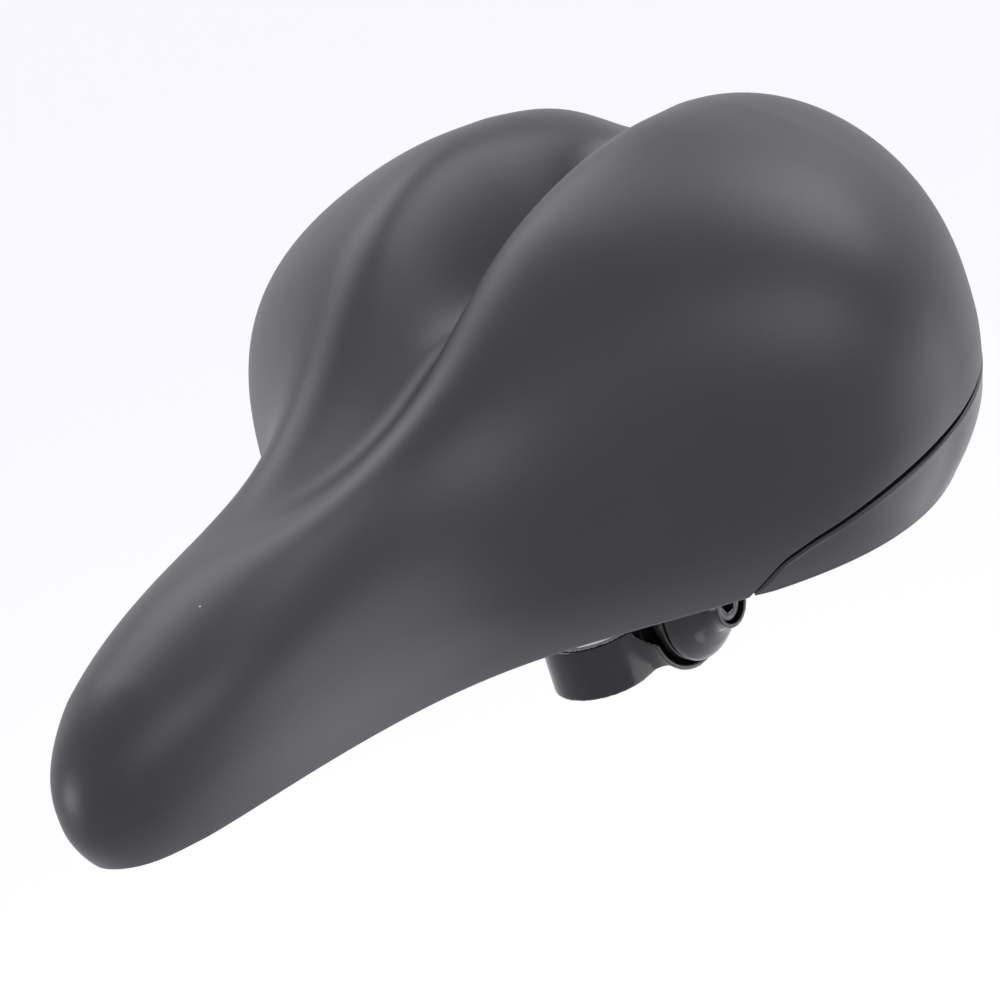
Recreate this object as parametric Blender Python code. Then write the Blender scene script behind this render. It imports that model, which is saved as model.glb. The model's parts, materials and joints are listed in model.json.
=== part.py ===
"""Bicycle saddle with its seat-post clamp, modelled piece by piece.

Metres, +Z up. +X points to the nose and +Y to the rider's left. The origin is on the
seat-post axis, at the lower end face of the clamp's band. Sizes below are in millimetres
and become metres when a mesh is made.
"""
import math

import bmesh
import bpy
import numpy as np

MM = 0.001
GAP = 0.3                   # clearance between neighbouring pieces

# ---- driving dimensions of the upholstered body ------------------------------------
# Half outline from the nose to the rear: x, half width, height of the widest line,
# height of the lower edge. The points steer a closed uniform cubic B-spline.
OUTLINE = [
    (181.0, 0.0, 64.0, 52.5),
    (171.5, 14.0, 62.0, 49.5),
    (141.0, 25.0, 69.0, 50.5),
    (102.0, 25.5, 69.5, 45.0),
    (54.0, 33.5, 52.0, 37.5),
    (13.5, 81.0, 51.0, 30.5),
    (-24.0, 110.0, 66.0, 34.5),
    (-79.5, 87.5, 62.5, 44.0),
    (-113.0, 52.5, 69.0, 36.5),
    (-103.0, 0.0, 70.5, 38.0),
]
CREST = ([-100, -70, -35, 5, 50, 95, 140, 175],
         [132.5, 133.7, 137.0, 131.4, 112.0, 100.8, 90.8, 81.2])
GROOVE_DEPTH = ([-100, -65, -25, 25, 75, 115, 175],
                [17.2, 15.1, 37.5, 23.2, 12.6, 0.8, -1.0])
GROOVE_WIDTH = ([-95, -35, 45, 175], [28.2, 17.2, 14.6, 15.9])
SIDE_FALL = ([-85, -15, 65], [5.8, 3.9, -1.3])      # drop of the top at 80 mm off centre
CROWN_POWER = 0.76          # how full the side is between the top and the widest line
TUCK = ([-95, 25, 175], [9.9, 7.0, 4.2])            # how far the lower edge lies inside
SPINE_REAR = 45.0           # the spine line ends this far inside the rear
SPINE_NOSE = 22.0           # and this far inside the nose

SEAM_TIP_X = 17.0           # front tip of the rear bumper
SEAM_RUN = 18.0             # length over which the seam climbs from the tip
SEAM_LEVEL = 0.36           # share of the lower side that the cover takes at the rear
SEAM_GAP = 0.05             # share left open between the cover and the bumper

COVER_WALL = 1.2
SHELL_WALL = 2.6
SHELL_INSET = 2.6           # from the outer surface to the shell's rim
SHELL_CROWN = ([-85, -25, 25, 75, 155], [74.0, 72.0, 66.0, 61.5, 63.0])
SHELL_POWER = ([20, 90], [0.8, 0.3])
SHELL_LEDGE = ([10, 60], [17.0, 0.6])               # flat border that the pieces sit on
BUMPER_WALL = 2.5
BUMPER_FLANGE = 16.5
BUMPER_SCREW_INSET = 12.8

# ---- driving dimensions of the rails and the clamp ---------------------------------
RAIL_RADIUS = 3.5
RAIL_HALF_SPACING = 22.0
RAIL_HEIGHT = 23.7
STRAIGHT_FRONT = 4.0
STRAIGHT_REAR = -56.0
# Left rail: nose end first, then down to the straight stretch, then up to the rear end.
RAIL_ROUTE = [
    (140.0, 6.2, 53.6), (132.0, 6.2, 52.9), (124.0, 6.4, 52.1), (110.0, 8.2, 50.2),
    (95.0, 10.8, 47.4), (78.0, 14.0, 43.6), (55.0, 18.6, 38.5), (36.0, 21.2, 33.1),
    (20.0, 22.0, 28.0), (STRAIGHT_FRONT, RAIL_HALF_SPACING, RAIL_HEIGHT),
    (-27.0, RAIL_HALF_SPACING, RAIL_HEIGHT), (STRAIGHT_REAR, RAIL_HALF_SPACING, RAIL_HEIGHT),
    (-65.0, 23.0, 26.0), (-73.0, 25.6, 32.5), (-78.0, 29.0, 42.0), (-80.5, 31.6, 50.0),
    (-81.5, 32.5, 56.0),
]

POST_RADIUS = 11.1          # bore for a 22.2 mm seat post
BAND_RADIUS = 13.5
BAND_HEIGHT = 14.2
BAND_CHAMFER = 0.4
BAND_SLIT = 4.0
BOLT_X = -18.0
BOLT_Z = 11.7
BOLT_RADIUS = 3.0           # M6 bolt
BOLT_HOLE = 3.4
TOOTH_HEIGHT = 0.5
TEETH = 18
PLATE_FRONT = -6.0          # rail blocks of the clamp plates, along the rail
PLATE_REAR = -30.0
PLATE_TOP = 28.4
PLATE_STEP = 16.6           # lower face of the rail blocks
CUP_PROFILE = [                # (radius, distance from the middle plane) of a side cup
    (3.4, 11.3), (13.0, 11.3), (15.6, 12.3), (17.0, 14.6), (17.5, 18.0), (16.0, 18.0),
    (15.2, 15.6), (12.8, 13.6), (12.2, 13.6), (6.0, 13.6), (5.5, 13.6), (3.4, 13.6),
]
STRAP = ((-13.0, -1.0), (11.35, 13.3), (1.2, 13.0))     # plate that ties a cup to the band
RATCHET_PROFILE = [            # inner clamp plate, as the cup
    (3.4, 14.9), (5.5, 14.9), (6.0, 14.9), (12.0, 14.9), (12.5, 14.9), (14.2, 16.2),
    (14.9, 17.8), (14.9, 19.7), (3.4, 19.7),
]
RATCHET_BLOCK = (18.4, 21.8)   # half of the rail's channel, from the middle plane
CAP_PROFILE = [                # outer clamp plate up to its boss
    (3.4, 20.0), (14.4, 20.0), (15.0, 20.7), (14.4, 22.4), (12.2, 24.2), (9.4, 25.8),
]
CAP_STEP = (17.0, 22.1)        # cut away over the inner plate's block
CAP_BLOCK = (22.15, 26.6)
BOSS_LEFT = 6.6                # boss radius over the bolt's head
BOSS_RIGHT = 7.6               # boss radius over the nut
BOSS_TOP = 31.3
HEAD_SEAT = 24.2               # floor of the bolt's and nut's pockets
HEAD_POCKET = 5.35
HEAD_RADIUS = 4.95
HEAD_TOP = 30.3
WASHER = (24.5, 25.7, 5.0)     # faces from the middle plane, and radius
BOLT_END = -31.4
KEY_FLATS = 5.0
KEY_FLOOR = 27.3
NUT_FLATS = 10.0
NUT_FACES = (-31.0, -26.0)
NUT_POCKET_FLATS = 10.5
SCREW_RADIUS = 1.5
SCREW_HEAD = 3.2
SCREW_HEAD_HEIGHT = 1.9
SCREW_POINT = 1.2
SCREW_BITE = 1.3            # how far a screw reaches into the shell

RAIL_SOCKET = ((-88.5, -74.5), (17.0, 48.0), 44.5)  # x range, y range, lower face
NOSE_SOCKET = ((117.0, 146.0), (-11.2, 11.2), 47.6)


# ---- scene, materials and mesh helpers ---------------------------------------------
def clear_scene():
    for obj in list(bpy.data.objects):
        bpy.data.objects.remove(obj, do_unlink=True)


def material(name, colour, roughness, metallic=0.0):
    mat = bpy.data.materials.new(name)
    mat.use_nodes = True
    shader = mat.node_tree.nodes["Principled BSDF"]
    shader.inputs["Base Color"].default_value = (*colour, 1.0)
    shader.inputs["Roughness"].default_value = roughness
    shader.inputs["Metallic"].default_value = metallic
    return mat


def add_object(name, bm, mat, parent=None, smooth_angle=35.0):
    """Close the mesh, turn its faces outward, convert it to metres and link it."""
    bmesh.ops.remove_doubles(bm, verts=bm.verts, dist=1e-4)
    bmesh.ops.dissolve_degenerate(bm, edges=bm.edges, dist=1e-5)
    bmesh.ops.recalc_face_normals(bm, faces=bm.faces)
    bmesh.ops.scale(bm, vec=(MM, MM, MM), verts=bm.verts)
    mesh = bpy.data.meshes.new(name)
    bm.to_mesh(mesh)
    bm.free()
    mesh.shade_smooth()
    mesh.set_sharp_from_angle(angle=math.radians(smooth_angle))
    obj = bpy.data.objects.new(name, mesh)
    bpy.context.scene.collection.objects.link(obj)
    if mat is not None:
        mesh.materials.append(mat)
    if parent is not None:
        obj.parent = parent
        obj.matrix_parent_inverse = parent.matrix_world.inverted()
    return obj


def pivot(name, position, parent=None):
    """Empty that marks a joint; the moving pieces hang under it."""
    empty = bpy.data.objects.new(name, None)
    bpy.context.scene.collection.objects.link(empty)
    empty.location = [value * MM for value in position]
    if parent is not None:
        empty.parent = parent
        empty.location = [v * MM - p for v, p in zip(position, parent.matrix_world.translation)]
    bpy.context.view_layer.update()
    return empty


def boolean(obj, cutter, operation="DIFFERENCE"):
    cutter.hide_render = True
    cutter.display_type = "WIRE"
    modifier = obj.modifiers.new(operation.title(), "BOOLEAN")
    modifier.operation = operation
    modifier.solver = "EXACT"
    modifier.object = cutter


def grid_body(columns, closed, looped=True, turn=None):
    """Body from columns of points. closed joins the last column to the first; looped
    joins each column's ends, which a body that closes on its spine doesn't need. Past
    row turn the quads are split the other way, so that nested walls stay parallel."""
    bm = bmesh.new()
    verts = [[bm.verts.new(point) for point in column] for column in columns]
    count = len(verts[0])
    pairs = len(verts) if closed else len(verts) - 1
    for i in range(pairs):
        here = verts[i]
        there = verts[(i + 1) % len(verts)]
        for j in range(count if looped else count - 1):
            k = (j + 1) % count
            if turn is None:
                bm.faces.new((here[j], there[j], there[k], here[k]))
            elif j < turn:
                bm.faces.new((here[j], there[j], there[k]))
                bm.faces.new((here[j], there[k], here[k]))
            else:
                bm.faces.new((here[j], there[j], here[k]))
                bm.faces.new((there[j], there[k], here[k]))
    if not closed:
        bm.faces.new(verts[0])
        bm.faces.new(list(reversed(verts[-1])))
    return bm


def turned(profile, steps, axis="Y", centre=(0.0, 0.0, 0.0), teeth=None):
    """Ring or plug turned from (radius, height) points round an axis through centre.

    teeth maps a profile index to the height that every second step adds there."""
    columns = []
    for step in range(steps):
        angle = 2.0 * math.pi * step / steps
        column = []
        for index, (radius, height) in enumerate(profile):
            if teeth and index in teeth and step % 2:
                height += teeth[index]
            a = radius * math.cos(angle)
            b = radius * math.sin(angle)
            point = (a, height, b) if axis == "Y" else (a, b, height)
            column.append([p + c for p, c in zip(point, centre)])
        columns.append(column)
    return grid_body(columns, closed=True)


def box(x_range, y_range, z_range):
    bm = bmesh.new()
    bmesh.ops.create_cube(bm, size=1.0)
    for vert in bm.verts:
        vert.co = [r[0] if c < 0 else r[1] for c, r in zip(vert.co, (x_range, y_range, z_range))]
    return bm


def hexagon(flats, low, high):
    """Hexagonal prism along the bolt's axis, by its width across flats."""
    columns = []
    for step in range(6):
        angle = math.pi * step / 3.0
        x = BOLT_X + flats / math.sqrt(3.0) * math.cos(angle)
        z = BOLT_Z + flats / math.sqrt(3.0) * math.sin(angle)
        columns.append([(x, low, z), (x, high, z), (BOLT_X, high, BOLT_Z), (BOLT_X, low, BOLT_Z)])
    return grid_body(columns, closed=True)


# ---- the envelope of the upholstered body ------------------------------------------
def smooth_curve(table, x):
    """Cubic Hermite curve through (xs, ys), level beyond its ends."""
    xs = np.asarray(table[0], float)
    ys = np.asarray(table[1], float)
    slopes = np.gradient(ys, xs)
    x = np.clip(x, xs[0], xs[-1])
    k = np.clip(np.searchsorted(xs, x) - 1, 0, len(xs) - 2)
    h = xs[k + 1] - xs[k]
    t = (x - xs[k]) / h
    start = (2 * t**3 - 3 * t**2 + 1) * ys[k] + (t**3 - 2 * t**2 + t) * h * slopes[k]
    end = (-2 * t**3 + 3 * t**2) * ys[k + 1] + (t**3 - t**2) * h * slopes[k + 1]
    return start + end


def outline(u):
    """Closed cubic B-spline through the mirrored outline; u counts its segments."""
    half = np.asarray(OUTLINE)
    mirrored = half[1:-1][::-1] * [1, -1, 1, 1]
    control = np.vstack([half, mirrored])
    count = len(control)
    i = np.floor(u).astype(int)
    f = (u - i)[:, None]
    a, b, c, d = (control[(i + k) % count] for k in (-1, 0, 1, 2))
    return ((1 - f)**3 * a + (3 * f**3 - 6 * f**2 + 4) * b
            + (-3 * f**3 + 3 * f**2 + 3 * f + 1) * c + f**3 * d) / 6


SEGMENTS = 2 * len(OUTLINE) - 2
LOOP = outline(np.arange(0, SEGMENTS, 0.02))
SPINE_LIMITS = (LOOP[:, 0].min() + SPINE_REAR, LOOP[:, 0].max() - SPINE_NOSE)


def top_height(x, y):
    groove = smooth_curve(GROOVE_DEPTH, x) * np.exp(-(y / smooth_curve(GROOVE_WIDTH, x))**2)
    return smooth_curve(CREST, x) - groove - smooth_curve(SIDE_FALL, x) * (y / 80.0)**2


def spine_of(loop):
    return np.clip(loop[:, 0], *SPINE_LIMITS)


def seam_share(loop):
    """Share of the lower side that the cover takes: all of it ahead of the bumper."""
    along = np.clip((loop[:, 0] - SEAM_TIP_X + SEAM_RUN) / SEAM_RUN, 0, 1)
    return SEAM_LEVEL + (1 - SEAM_LEVEL) * along**2.2


def side_point(loop, share, inset=0.0):
    """Point on the lower side at a share from the widest line (0) to the edge (1)."""
    spine = spine_of(loop)
    dx = loop[:, 0] - spine
    reach = np.hypot(dx, loop[:, 1])
    keep = 1 - (np.interp(loop[:, 0], *TUCK) * share**2 + inset) / reach
    z = loop[:, 2] + (loop[:, 3] - loop[:, 2]) * share
    return np.stack([spine + dx * keep, loop[:, 1] * keep, z], axis=1)


def upper_point(loop, t):
    """Point on the top: t runs from the spine (0) to the widest line (1)."""
    spine = spine_of(loop)
    reach = math.sin(t * math.pi / 2)
    lift = max(math.cos(t * math.pi / 2), 0.0)**CROWN_POWER
    x = spine + (loop[:, 0] - spine) * reach
    y = loop[:, 1] * reach
    z = loop[:, 2] + (top_height(x, y) - loop[:, 2]) * lift
    return np.stack([x, y, z], axis=1)


UPPER_STEPS = (0.0, 0.14, 0.28, 0.42, 0.56, 0.7, 0.85, 1.0)


def outer_rows(loop, end_share, steps=3):
    """Rows of the outer surface from the spine down to end_share on the lower side."""
    rows = [upper_point(loop, t) for t in UPPER_STEPS]
    rows += [side_point(loop, end_share * k / steps) for k in range(1, steps + 1)]
    return np.array(rows)


def inward(rows, distance):
    """Rows moved along the surface's inward normal."""
    along = np.roll(rows, -1, axis=1) - np.roll(rows, 1, axis=1)
    down = np.gradient(rows, axis=0)
    normal = np.cross(down, along)
    step = 0.5
    x = rows[0, :, 0]
    slope = (top_height(x + step, 0 * x) - top_height(x - step, 0 * x)) / (2 * step)
    normal[0] = np.stack([-slope, 0 * x, np.ones_like(x)], axis=1)
    normal /= np.linalg.norm(normal, axis=2, keepdims=True)
    flip = np.where(normal[1:2, :, 2:3] < 0, -1.0, 1.0)
    normal[1:] *= flip
    return rows - distance * normal


def shell_rows(loop, inset, drop, lift=0.0):
    """Rows of the base shell's surface: a dome inside a flat border, spine to rim."""
    share = seam_share(loop)
    rim = side_point(loop, share, inset)
    spine = spine_of(loop)
    dx = rim[:, 0] - spine
    reach = np.hypot(dx, rim[:, 1])
    border = smooth_curve(SHELL_LEDGE, loop[:, 0])
    power = np.interp(loop[:, 0], *SHELL_POWER)
    rows = []
    for t in (0.0, 0.22, 0.45, 0.65, 0.82, 0.93, 1.0):
        keep = t * (1 - border / reach)
        x = spine + dx * keep
        y = rim[:, 1] * keep
        crown = smooth_curve(SHELL_CROWN, x) - drop
        rise = np.maximum(np.cos(t * math.pi / 2), 0.0)**power
        rows.append(np.stack([x, y, rim[:, 2] + lift + (crown - rim[:, 2] - lift) * rise], axis=1))
    rows.append(rim + [0, 0, lift])
    return np.array(rows)


def shell_underside(x, y):
    """Height of the shell's lower surface over a place."""
    rows = shell_rows(LOOP, SHELL_INSET + SHELL_WALL, SHELL_WALL)
    share = np.linspace(0, 1, 20)[:, None, None]
    dense = np.concatenate([a + (b - a) * share for a, b in zip(rows[:-1], rows[1:])])
    nearest = np.argmin(np.hypot(dense[:, :, 0] - x, dense[:, :, 1] - y))
    return float(dense[:, :, 2].ravel()[nearest])


def columns_of(*row_groups):
    rows = np.concatenate(row_groups)
    return [rows[:, k].tolist() for k in range(rows.shape[1])]


def station(x):
    """Outline parameter of the left side at x."""
    u = np.linspace(1.0, SEGMENTS / 2 - 2.0, 1200)
    return np.interp(-x, -outline(u)[:, 0], u)


def both_sides(half):
    """Outline points for the left half, which ends at the rear centre, and its mirror."""
    right = SEGMENTS - half[:-1][::-1]
    return outline(np.concatenate([half, right[right < SEGMENTS]]))


TIP_STATIONS = [station(SEAM_TIP_X - step) for step in (1.5, 4.5, 8.0, 12.0, 16.0, 21.0)]
REAR_STATIONS = np.linspace(station(SEAM_TIP_X - 28.0), SEGMENTS / 2, 12)
NOSE_STATIONS = np.linspace(0.0, station(SEAM_TIP_X), 13)
BODY_LOOP = both_sides(np.concatenate([NOSE_STATIONS, TIP_STATIONS, REAR_STATIONS]))
BUMPER_LOOP = both_sides(np.concatenate([TIP_STATIONS, REAR_STATIONS]))


# ---- upholstered body --------------------------------------------------------------
def make_cover(parent):
    skin = material("cover_skin", (0.055, 0.053, 0.06), 0.55)
    outer = outer_rows(BODY_LOOP, seam_share(BODY_LOOP))
    inner = inward(outer, COVER_WALL)
    body = grid_body(columns_of(outer, inner[::-1]), True, False, len(outer))
    return add_object("cover", body, skin, parent)


def make_foam(parent):
    foam = material("foam", (0.62, 0.6, 0.54), 0.95)
    outer = inward(outer_rows(BODY_LOOP, seam_share(BODY_LOOP) * 0.9), COVER_WALL + GAP)
    seat = shell_rows(BODY_LOOP, SHELL_INSET, 0.0, SHELL_WALL) + [0, 0, GAP]
    seat[-1] = side_point(BODY_LOOP, seam_share(BODY_LOOP), SHELL_INSET) + [0, 0, SHELL_WALL + GAP]
    body = grid_body(columns_of(outer, seat[::-1]), True, False, len(outer))
    return add_object("foam_pad", body, foam, parent)


def make_shell(parent):
    plastic = material("shell_plastic", (0.03, 0.03, 0.032), 0.5)
    upper = shell_rows(BODY_LOOP, SHELL_INSET, 0.0, SHELL_WALL)
    lower = shell_rows(BODY_LOOP, SHELL_INSET + SHELL_WALL, SHELL_WALL)
    rim = side_point(BODY_LOOP, seam_share(BODY_LOOP), SHELL_INSET)[None]
    body = grid_body(columns_of(upper, rim, lower[::-1]), True, False, len(upper))
    shell = add_object("base_shell", body, plastic, parent)
    for name, place in screw_places():
        boolean(shell, screw_hole(name + "_shell_hole", place, 40.0))
    return shell


def make_bumper(parent):
    plastic = material("bumper_plastic", (0.035, 0.034, 0.035), 0.35)
    loop = BUMPER_LOOP
    top = seam_share(loop) + SEAM_GAP
    share = [top + (1 - top) * k for k in (0.0, 0.33, 0.66, 1.0)]
    height = np.abs(loop[:, 3] - loop[:, 2]) * (1 - top)
    wall = np.minimum(BUMPER_WALL, 0.35 * height + 0.6)
    outer = [side_point(loop, s) for s in share]
    inner = [side_point(loop, s, wall) for s in share[::-1][:-1]]
    flange_z = outer[0][:, 2] - np.minimum(BUMPER_WALL, 0.4 * height)
    reach = np.minimum(BUMPER_FLANGE, wall + 0.9 * height)
    under = side_point(loop, top, wall)
    under[:, 2] = flange_z
    tip_low = side_point(loop, top, reach)
    tip_high = tip_low.copy()
    tip_low[:, 2] = flange_z
    rows = np.array(outer + inner[:-1] + [under, tip_low, tip_high])
    bumper = add_object("rear_bumper", grid_body(columns_of(rows), False), plastic, parent)
    for name, place in bumper_screw_places():
        boolean(bumper, screw_hole(name + "_bumper_hole", place, 40.0))
    return bumper


# ---- screws that hold the pieces under the shell -----------------------------------
def bumper_screw_places():
    """Left, right and rear screw of the bumper, each on its flange's lower face."""
    loop = outline(np.array([6.2, SEGMENTS - 6.2, SEGMENTS / 2]))
    share = seam_share(loop) + SEAM_GAP
    spots = side_point(loop, share, BUMPER_SCREW_INSET)
    spots[:, 2] = side_point(loop, share)[:, 2] - BUMPER_WALL
    names = ("bumper_screw_left", "bumper_screw_right", "bumper_screw_rear")
    return list(zip(names, spots.tolist()))


def socket_screw_places():
    x = sum(RAIL_SOCKET[0]) / 2
    inner, outer = RAIL_SOCKET[1][0] + 4.6, RAIL_SOCKET[1][1] - 4.6
    z = RAIL_SOCKET[2]
    places = []
    for side, sign in (("left", 1), ("right", -1)):
        places.append((f"rail_screw_{side}_inner", (x, sign * inner, z)))
        places.append((f"rail_screw_{side}_outer", (x, sign * outer, z)))
    front, rear = NOSE_SOCKET[0][1] - 5.0, NOSE_SOCKET[0][0] + 5.0
    places.append(("nose_screw_front", (front, 0.0, NOSE_SOCKET[2])))
    places.append(("nose_screw_rear", (rear, 0.0, NOSE_SOCKET[2])))
    return places


def screw_places():
    return bumper_screw_places() + socket_screw_places()


def screw_hole(name, place, depth):
    radius = SCREW_RADIUS + GAP
    seat = SCREW_HEAD + GAP
    profile = [(0.0, -6.0), (seat, -6.0), (seat, 0.0), (radius, 0.0), (radius, depth), (0.0, depth)]
    return add_object(name, turned(profile, 12, "Z", place), None)


def make_screw(name, place, length, mat, parent):
    seat = -GAP
    face = seat - SCREW_HEAD_HEIGHT
    profile = [(0.0, face), (SCREW_HEAD * 0.72, face), (SCREW_HEAD, face + SCREW_HEAD_HEIGHT * 0.45),
               (SCREW_HEAD, seat), (SCREW_RADIUS, seat), (SCREW_RADIUS, length - SCREW_POINT),
               (0.5, length), (0.0, length)]
    return add_object(name, turned(profile, 12, "Z", place), mat, parent)


def make_screws(parent):
    zinc = material("screw_zinc", (0.55, 0.55, 0.57), 0.35, 1.0)
    for name, place in bumper_screw_places():
        make_screw(name, place, 2 * BUMPER_WALL + SCREW_BITE - 0.5, zinc, parent)
    for name, place in socket_screw_places():
        length = shell_underside(place[0], place[1]) + SCREW_BITE - place[2]
        make_screw(name, place, length, zinc, parent)


# ---- rails and their sockets -------------------------------------------------------
def rail_points(side, radius_extra=0.0):
    """Even points on a smooth curve through the route, straight under the clamp."""
    route = np.asarray(RAIL_ROUTE) * [1, side, 1]
    steps = np.linalg.norm(np.diff(route, axis=0), axis=1)
    length = np.concatenate([[0], np.cumsum(steps)])
    front = length[9]
    rear = length[11]
    where = np.concatenate([np.linspace(0, front, 19), [rear],
                            np.linspace(rear, length[-1], 11)[1:]])
    return np.stack([smooth_curve((length, route[:, k]), where) for k in range(3)], axis=1)


def tube(name, points, radius, mat, parent, sides=12):
    """Round bar swept along the points, with flat ends."""
    points = np.asarray(points, float)
    tangent = np.gradient(points, axis=0)
    tangent /= np.linalg.norm(tangent, axis=1, keepdims=True)
    over = np.cross(tangent, [0.0, 1.0, 0.0])
    over /= np.linalg.norm(over, axis=1, keepdims=True)
    across = np.cross(tangent, over)
    angle = 2 * np.pi * np.arange(sides) / sides
    ring = np.cos(angle)[None, :, None] * over[:, None] + np.sin(angle)[None, :, None] * across[:, None]
    columns = (points[:, None] + radius * ring).tolist()
    return add_object(name, grid_body(columns, closed=False), mat, parent)


def make_rails(parent):
    steel = material("rail_steel", (0.03, 0.03, 0.032), 0.3, 0.6)
    for name, side in (("rail_left", 1), ("rail_right", -1)):
        tube(name, rail_points(side), RAIL_RADIUS, steel, parent)


def rail_bore(name, side):
    """Cutter along a rail, a clearance wider and longer than it."""
    points = rail_points(side)
    lead = (points[0] - points[1]) / np.linalg.norm(points[0] - points[1])
    tail = (points[-1] - points[-2]) / np.linalg.norm(points[-1] - points[-2])
    points = np.vstack([points[0] + lead, points[1:-1], points[-1] + tail])
    return tube(name, points, RAIL_RADIUS + GAP, None, None)


def above_shell(name):
    """Cutter that fills everything over the shell's lower surface, less a clearance."""
    under = shell_rows(BODY_LOOP, SHELL_INSET + SHELL_WALL, SHELL_WALL) - [0, 0, GAP]
    wide = side_point(BODY_LOOP, seam_share(BODY_LOOP), -30.0) - [0, 0, GAP]
    lift = np.array([0, 0, 60.0])
    over = under + lift
    columns = columns_of(under, wide[None], (wide + lift)[None], over[::-1])
    return add_object(name, grid_body(columns, True, False, len(under)), None)


def make_sockets(parent):
    plastic = material("socket_plastic", (0.035, 0.035, 0.037), 0.45)
    roof = above_shell("shell_space")
    screws = dict(socket_screw_places())
    for name, side in (("rail_socket_left", 1), ("rail_socket_right", -1)):
        y_range = sorted(side * y for y in RAIL_SOCKET[1])
        block = box(RAIL_SOCKET[0], y_range, (RAIL_SOCKET[2], 75.0))
        bmesh.ops.bevel(block, geom=[e for e in block.edges if abs(e.verts[0].co.z - e.verts[1].co.z) > 1],
                        offset=4.0, segments=3, profile=0.5, affect="EDGES")
        socket = add_object(name, block, plastic, parent)
        boolean(socket, roof)
        boolean(socket, rail_bore(name + "_bore", side))
        word = "left" if side > 0 else "right"
        for place in ("inner", "outer"):
            key = f"rail_screw_{word}_{place}"
            boolean(socket, screw_hole(key + "_hole", screws[key], 40.0))
    block = box(NOSE_SOCKET[0], NOSE_SOCKET[1], (NOSE_SOCKET[2], 70.0))
    bmesh.ops.bevel(block, geom=[e for e in block.edges if abs(e.verts[0].co.z - e.verts[1].co.z) > 1],
                    offset=3.0, segments=3, profile=0.5, affect="EDGES")
    socket = add_object("nose_socket", block, plastic, parent)
    boolean(socket, roof)
    for side in (1, -1):
        boolean(socket, rail_bore(f"nose_bore_{'left' if side > 0 else 'right'}", side))
    for key in ("nose_screw_front", "nose_screw_rear"):
        boolean(socket, screw_hole(key + "_hole", screws[key], 40.0))


# ---- seat-post clamp ---------------------------------------------------------------
def make_band(parent):
    paint = material("clamp_paint", (0.012, 0.012, 0.014), 0.18, 0.3)
    wall = [(POST_RADIUS, 0.0), (BAND_RADIUS - BAND_CHAMFER, 0.0), (BAND_RADIUS, BAND_CHAMFER),
            (BAND_RADIUS, BAND_HEIGHT - BAND_CHAMFER), (BAND_RADIUS - BAND_CHAMFER, BAND_HEIGHT),
            (POST_RADIUS, BAND_HEIGHT)]
    band = add_object("post_band", turned(wall, 48, "Z"), paint, parent)
    for side in (1, -1):
        word = "left" if side > 0 else "right"
        dish = [(r, side * y) for r, y in CUP_PROFILE]
        teeth = {8: side * TOOTH_HEIGHT, 9: side * TOOTH_HEIGHT}
        cup = turned(dish, 2 * TEETH, "Y", (BOLT_X, 0.0, BOLT_Z), teeth)
        boolean(band, add_object(f"cup_{word}", cup, None), "UNION")
        strap = box(STRAP[0], sorted(side * y for y in STRAP[1]), STRAP[2])
        boolean(band, add_object(f"strap_{word}", strap, None), "UNION")
    bore = turned([(0.0, -9.0), (POST_RADIUS, -9.0), (POST_RADIUS, 30.0), (0.0, 30.0)], 48, "Z")
    boolean(band, add_object("post_space", bore, None))
    slit = box((-16.0, -9.0), (-BAND_SLIT / 2, BAND_SLIT / 2), (-2.0, 20.0))
    boolean(band, add_object("band_slit", slit, None))
    shank = turned([(0.0, -25.0), (BOLT_HOLE, -25.0), (BOLT_HOLE, 25.0), (0.0, 25.0)],
                   2 * TEETH, "Y", (BOLT_X, 0.0, BOLT_Z))
    boolean(band, add_object("band_bolt_hole", shank, None))
    return band


def rail_channel(name, side):
    """Straight cutter along the rail's clamped stretch."""
    ends = [(-60.0, side * RAIL_HALF_SPACING, RAIL_HEIGHT), (40.0, side * RAIL_HALF_SPACING, RAIL_HEIGHT)]
    return tube(name, ends, RAIL_RADIUS + GAP, None, None)


def make_ratchet_plate(side, word, parent):
    steel = material("plate_paint_" + word, (0.015, 0.015, 0.017), 0.25, 0.3)
    disc = [(r, side * y) for r, y in RATCHET_PROFILE]
    teeth = {2: -side * TOOTH_HEIGHT, 3: -side * TOOTH_HEIGHT}
    body = turned(disc, 2 * TEETH, "Y", (BOLT_X, 0.0, BOLT_Z), teeth)
    plate = add_object("ratchet_plate_" + word, body, steel, parent)
    block = box((PLATE_REAR, PLATE_FRONT), sorted(side * y for y in RATCHET_BLOCK),
                (PLATE_STEP + GAP, PLATE_TOP))
    boolean(plate, add_object("ratchet_block_" + word, block, None), "UNION")
    boolean(plate, rail_channel("ratchet_channel_" + word, side))
    return plate


def make_clamp_plate(side, word, boss, parent):
    paint = material("cap_paint_" + word, (0.012, 0.012, 0.014), 0.15, 0.3)
    dome = CAP_PROFILE + [
        (boss + 0.7, 27.4), (boss, 29.4), (boss, BOSS_TOP - GAP), (boss - GAP, BOSS_TOP),
        (HEAD_POCKET, BOSS_TOP), (HEAD_POCKET, HEAD_SEAT), (BOLT_HOLE, HEAD_SEAT),
    ]
    dome = [(r, side * y) for r, y in dome]
    body = turned(dome, 32, "Y", (BOLT_X, 0.0, BOLT_Z))
    plate = add_object("clamp_plate_" + word, body, paint, parent)
    step = box((-40.0, 4.0), sorted(side * y for y in CAP_STEP), (PLATE_STEP, 40.0))
    boolean(plate, add_object("clamp_step_" + word, step, None))
    block = box((PLATE_REAR, PLATE_FRONT), sorted(side * y for y in CAP_BLOCK),
                (PLATE_STEP + GAP, PLATE_TOP))
    boolean(plate, add_object("clamp_block_" + word, block, None), "UNION")
    boolean(plate, rail_channel("clamp_channel_" + word, side))
    return plate


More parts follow.
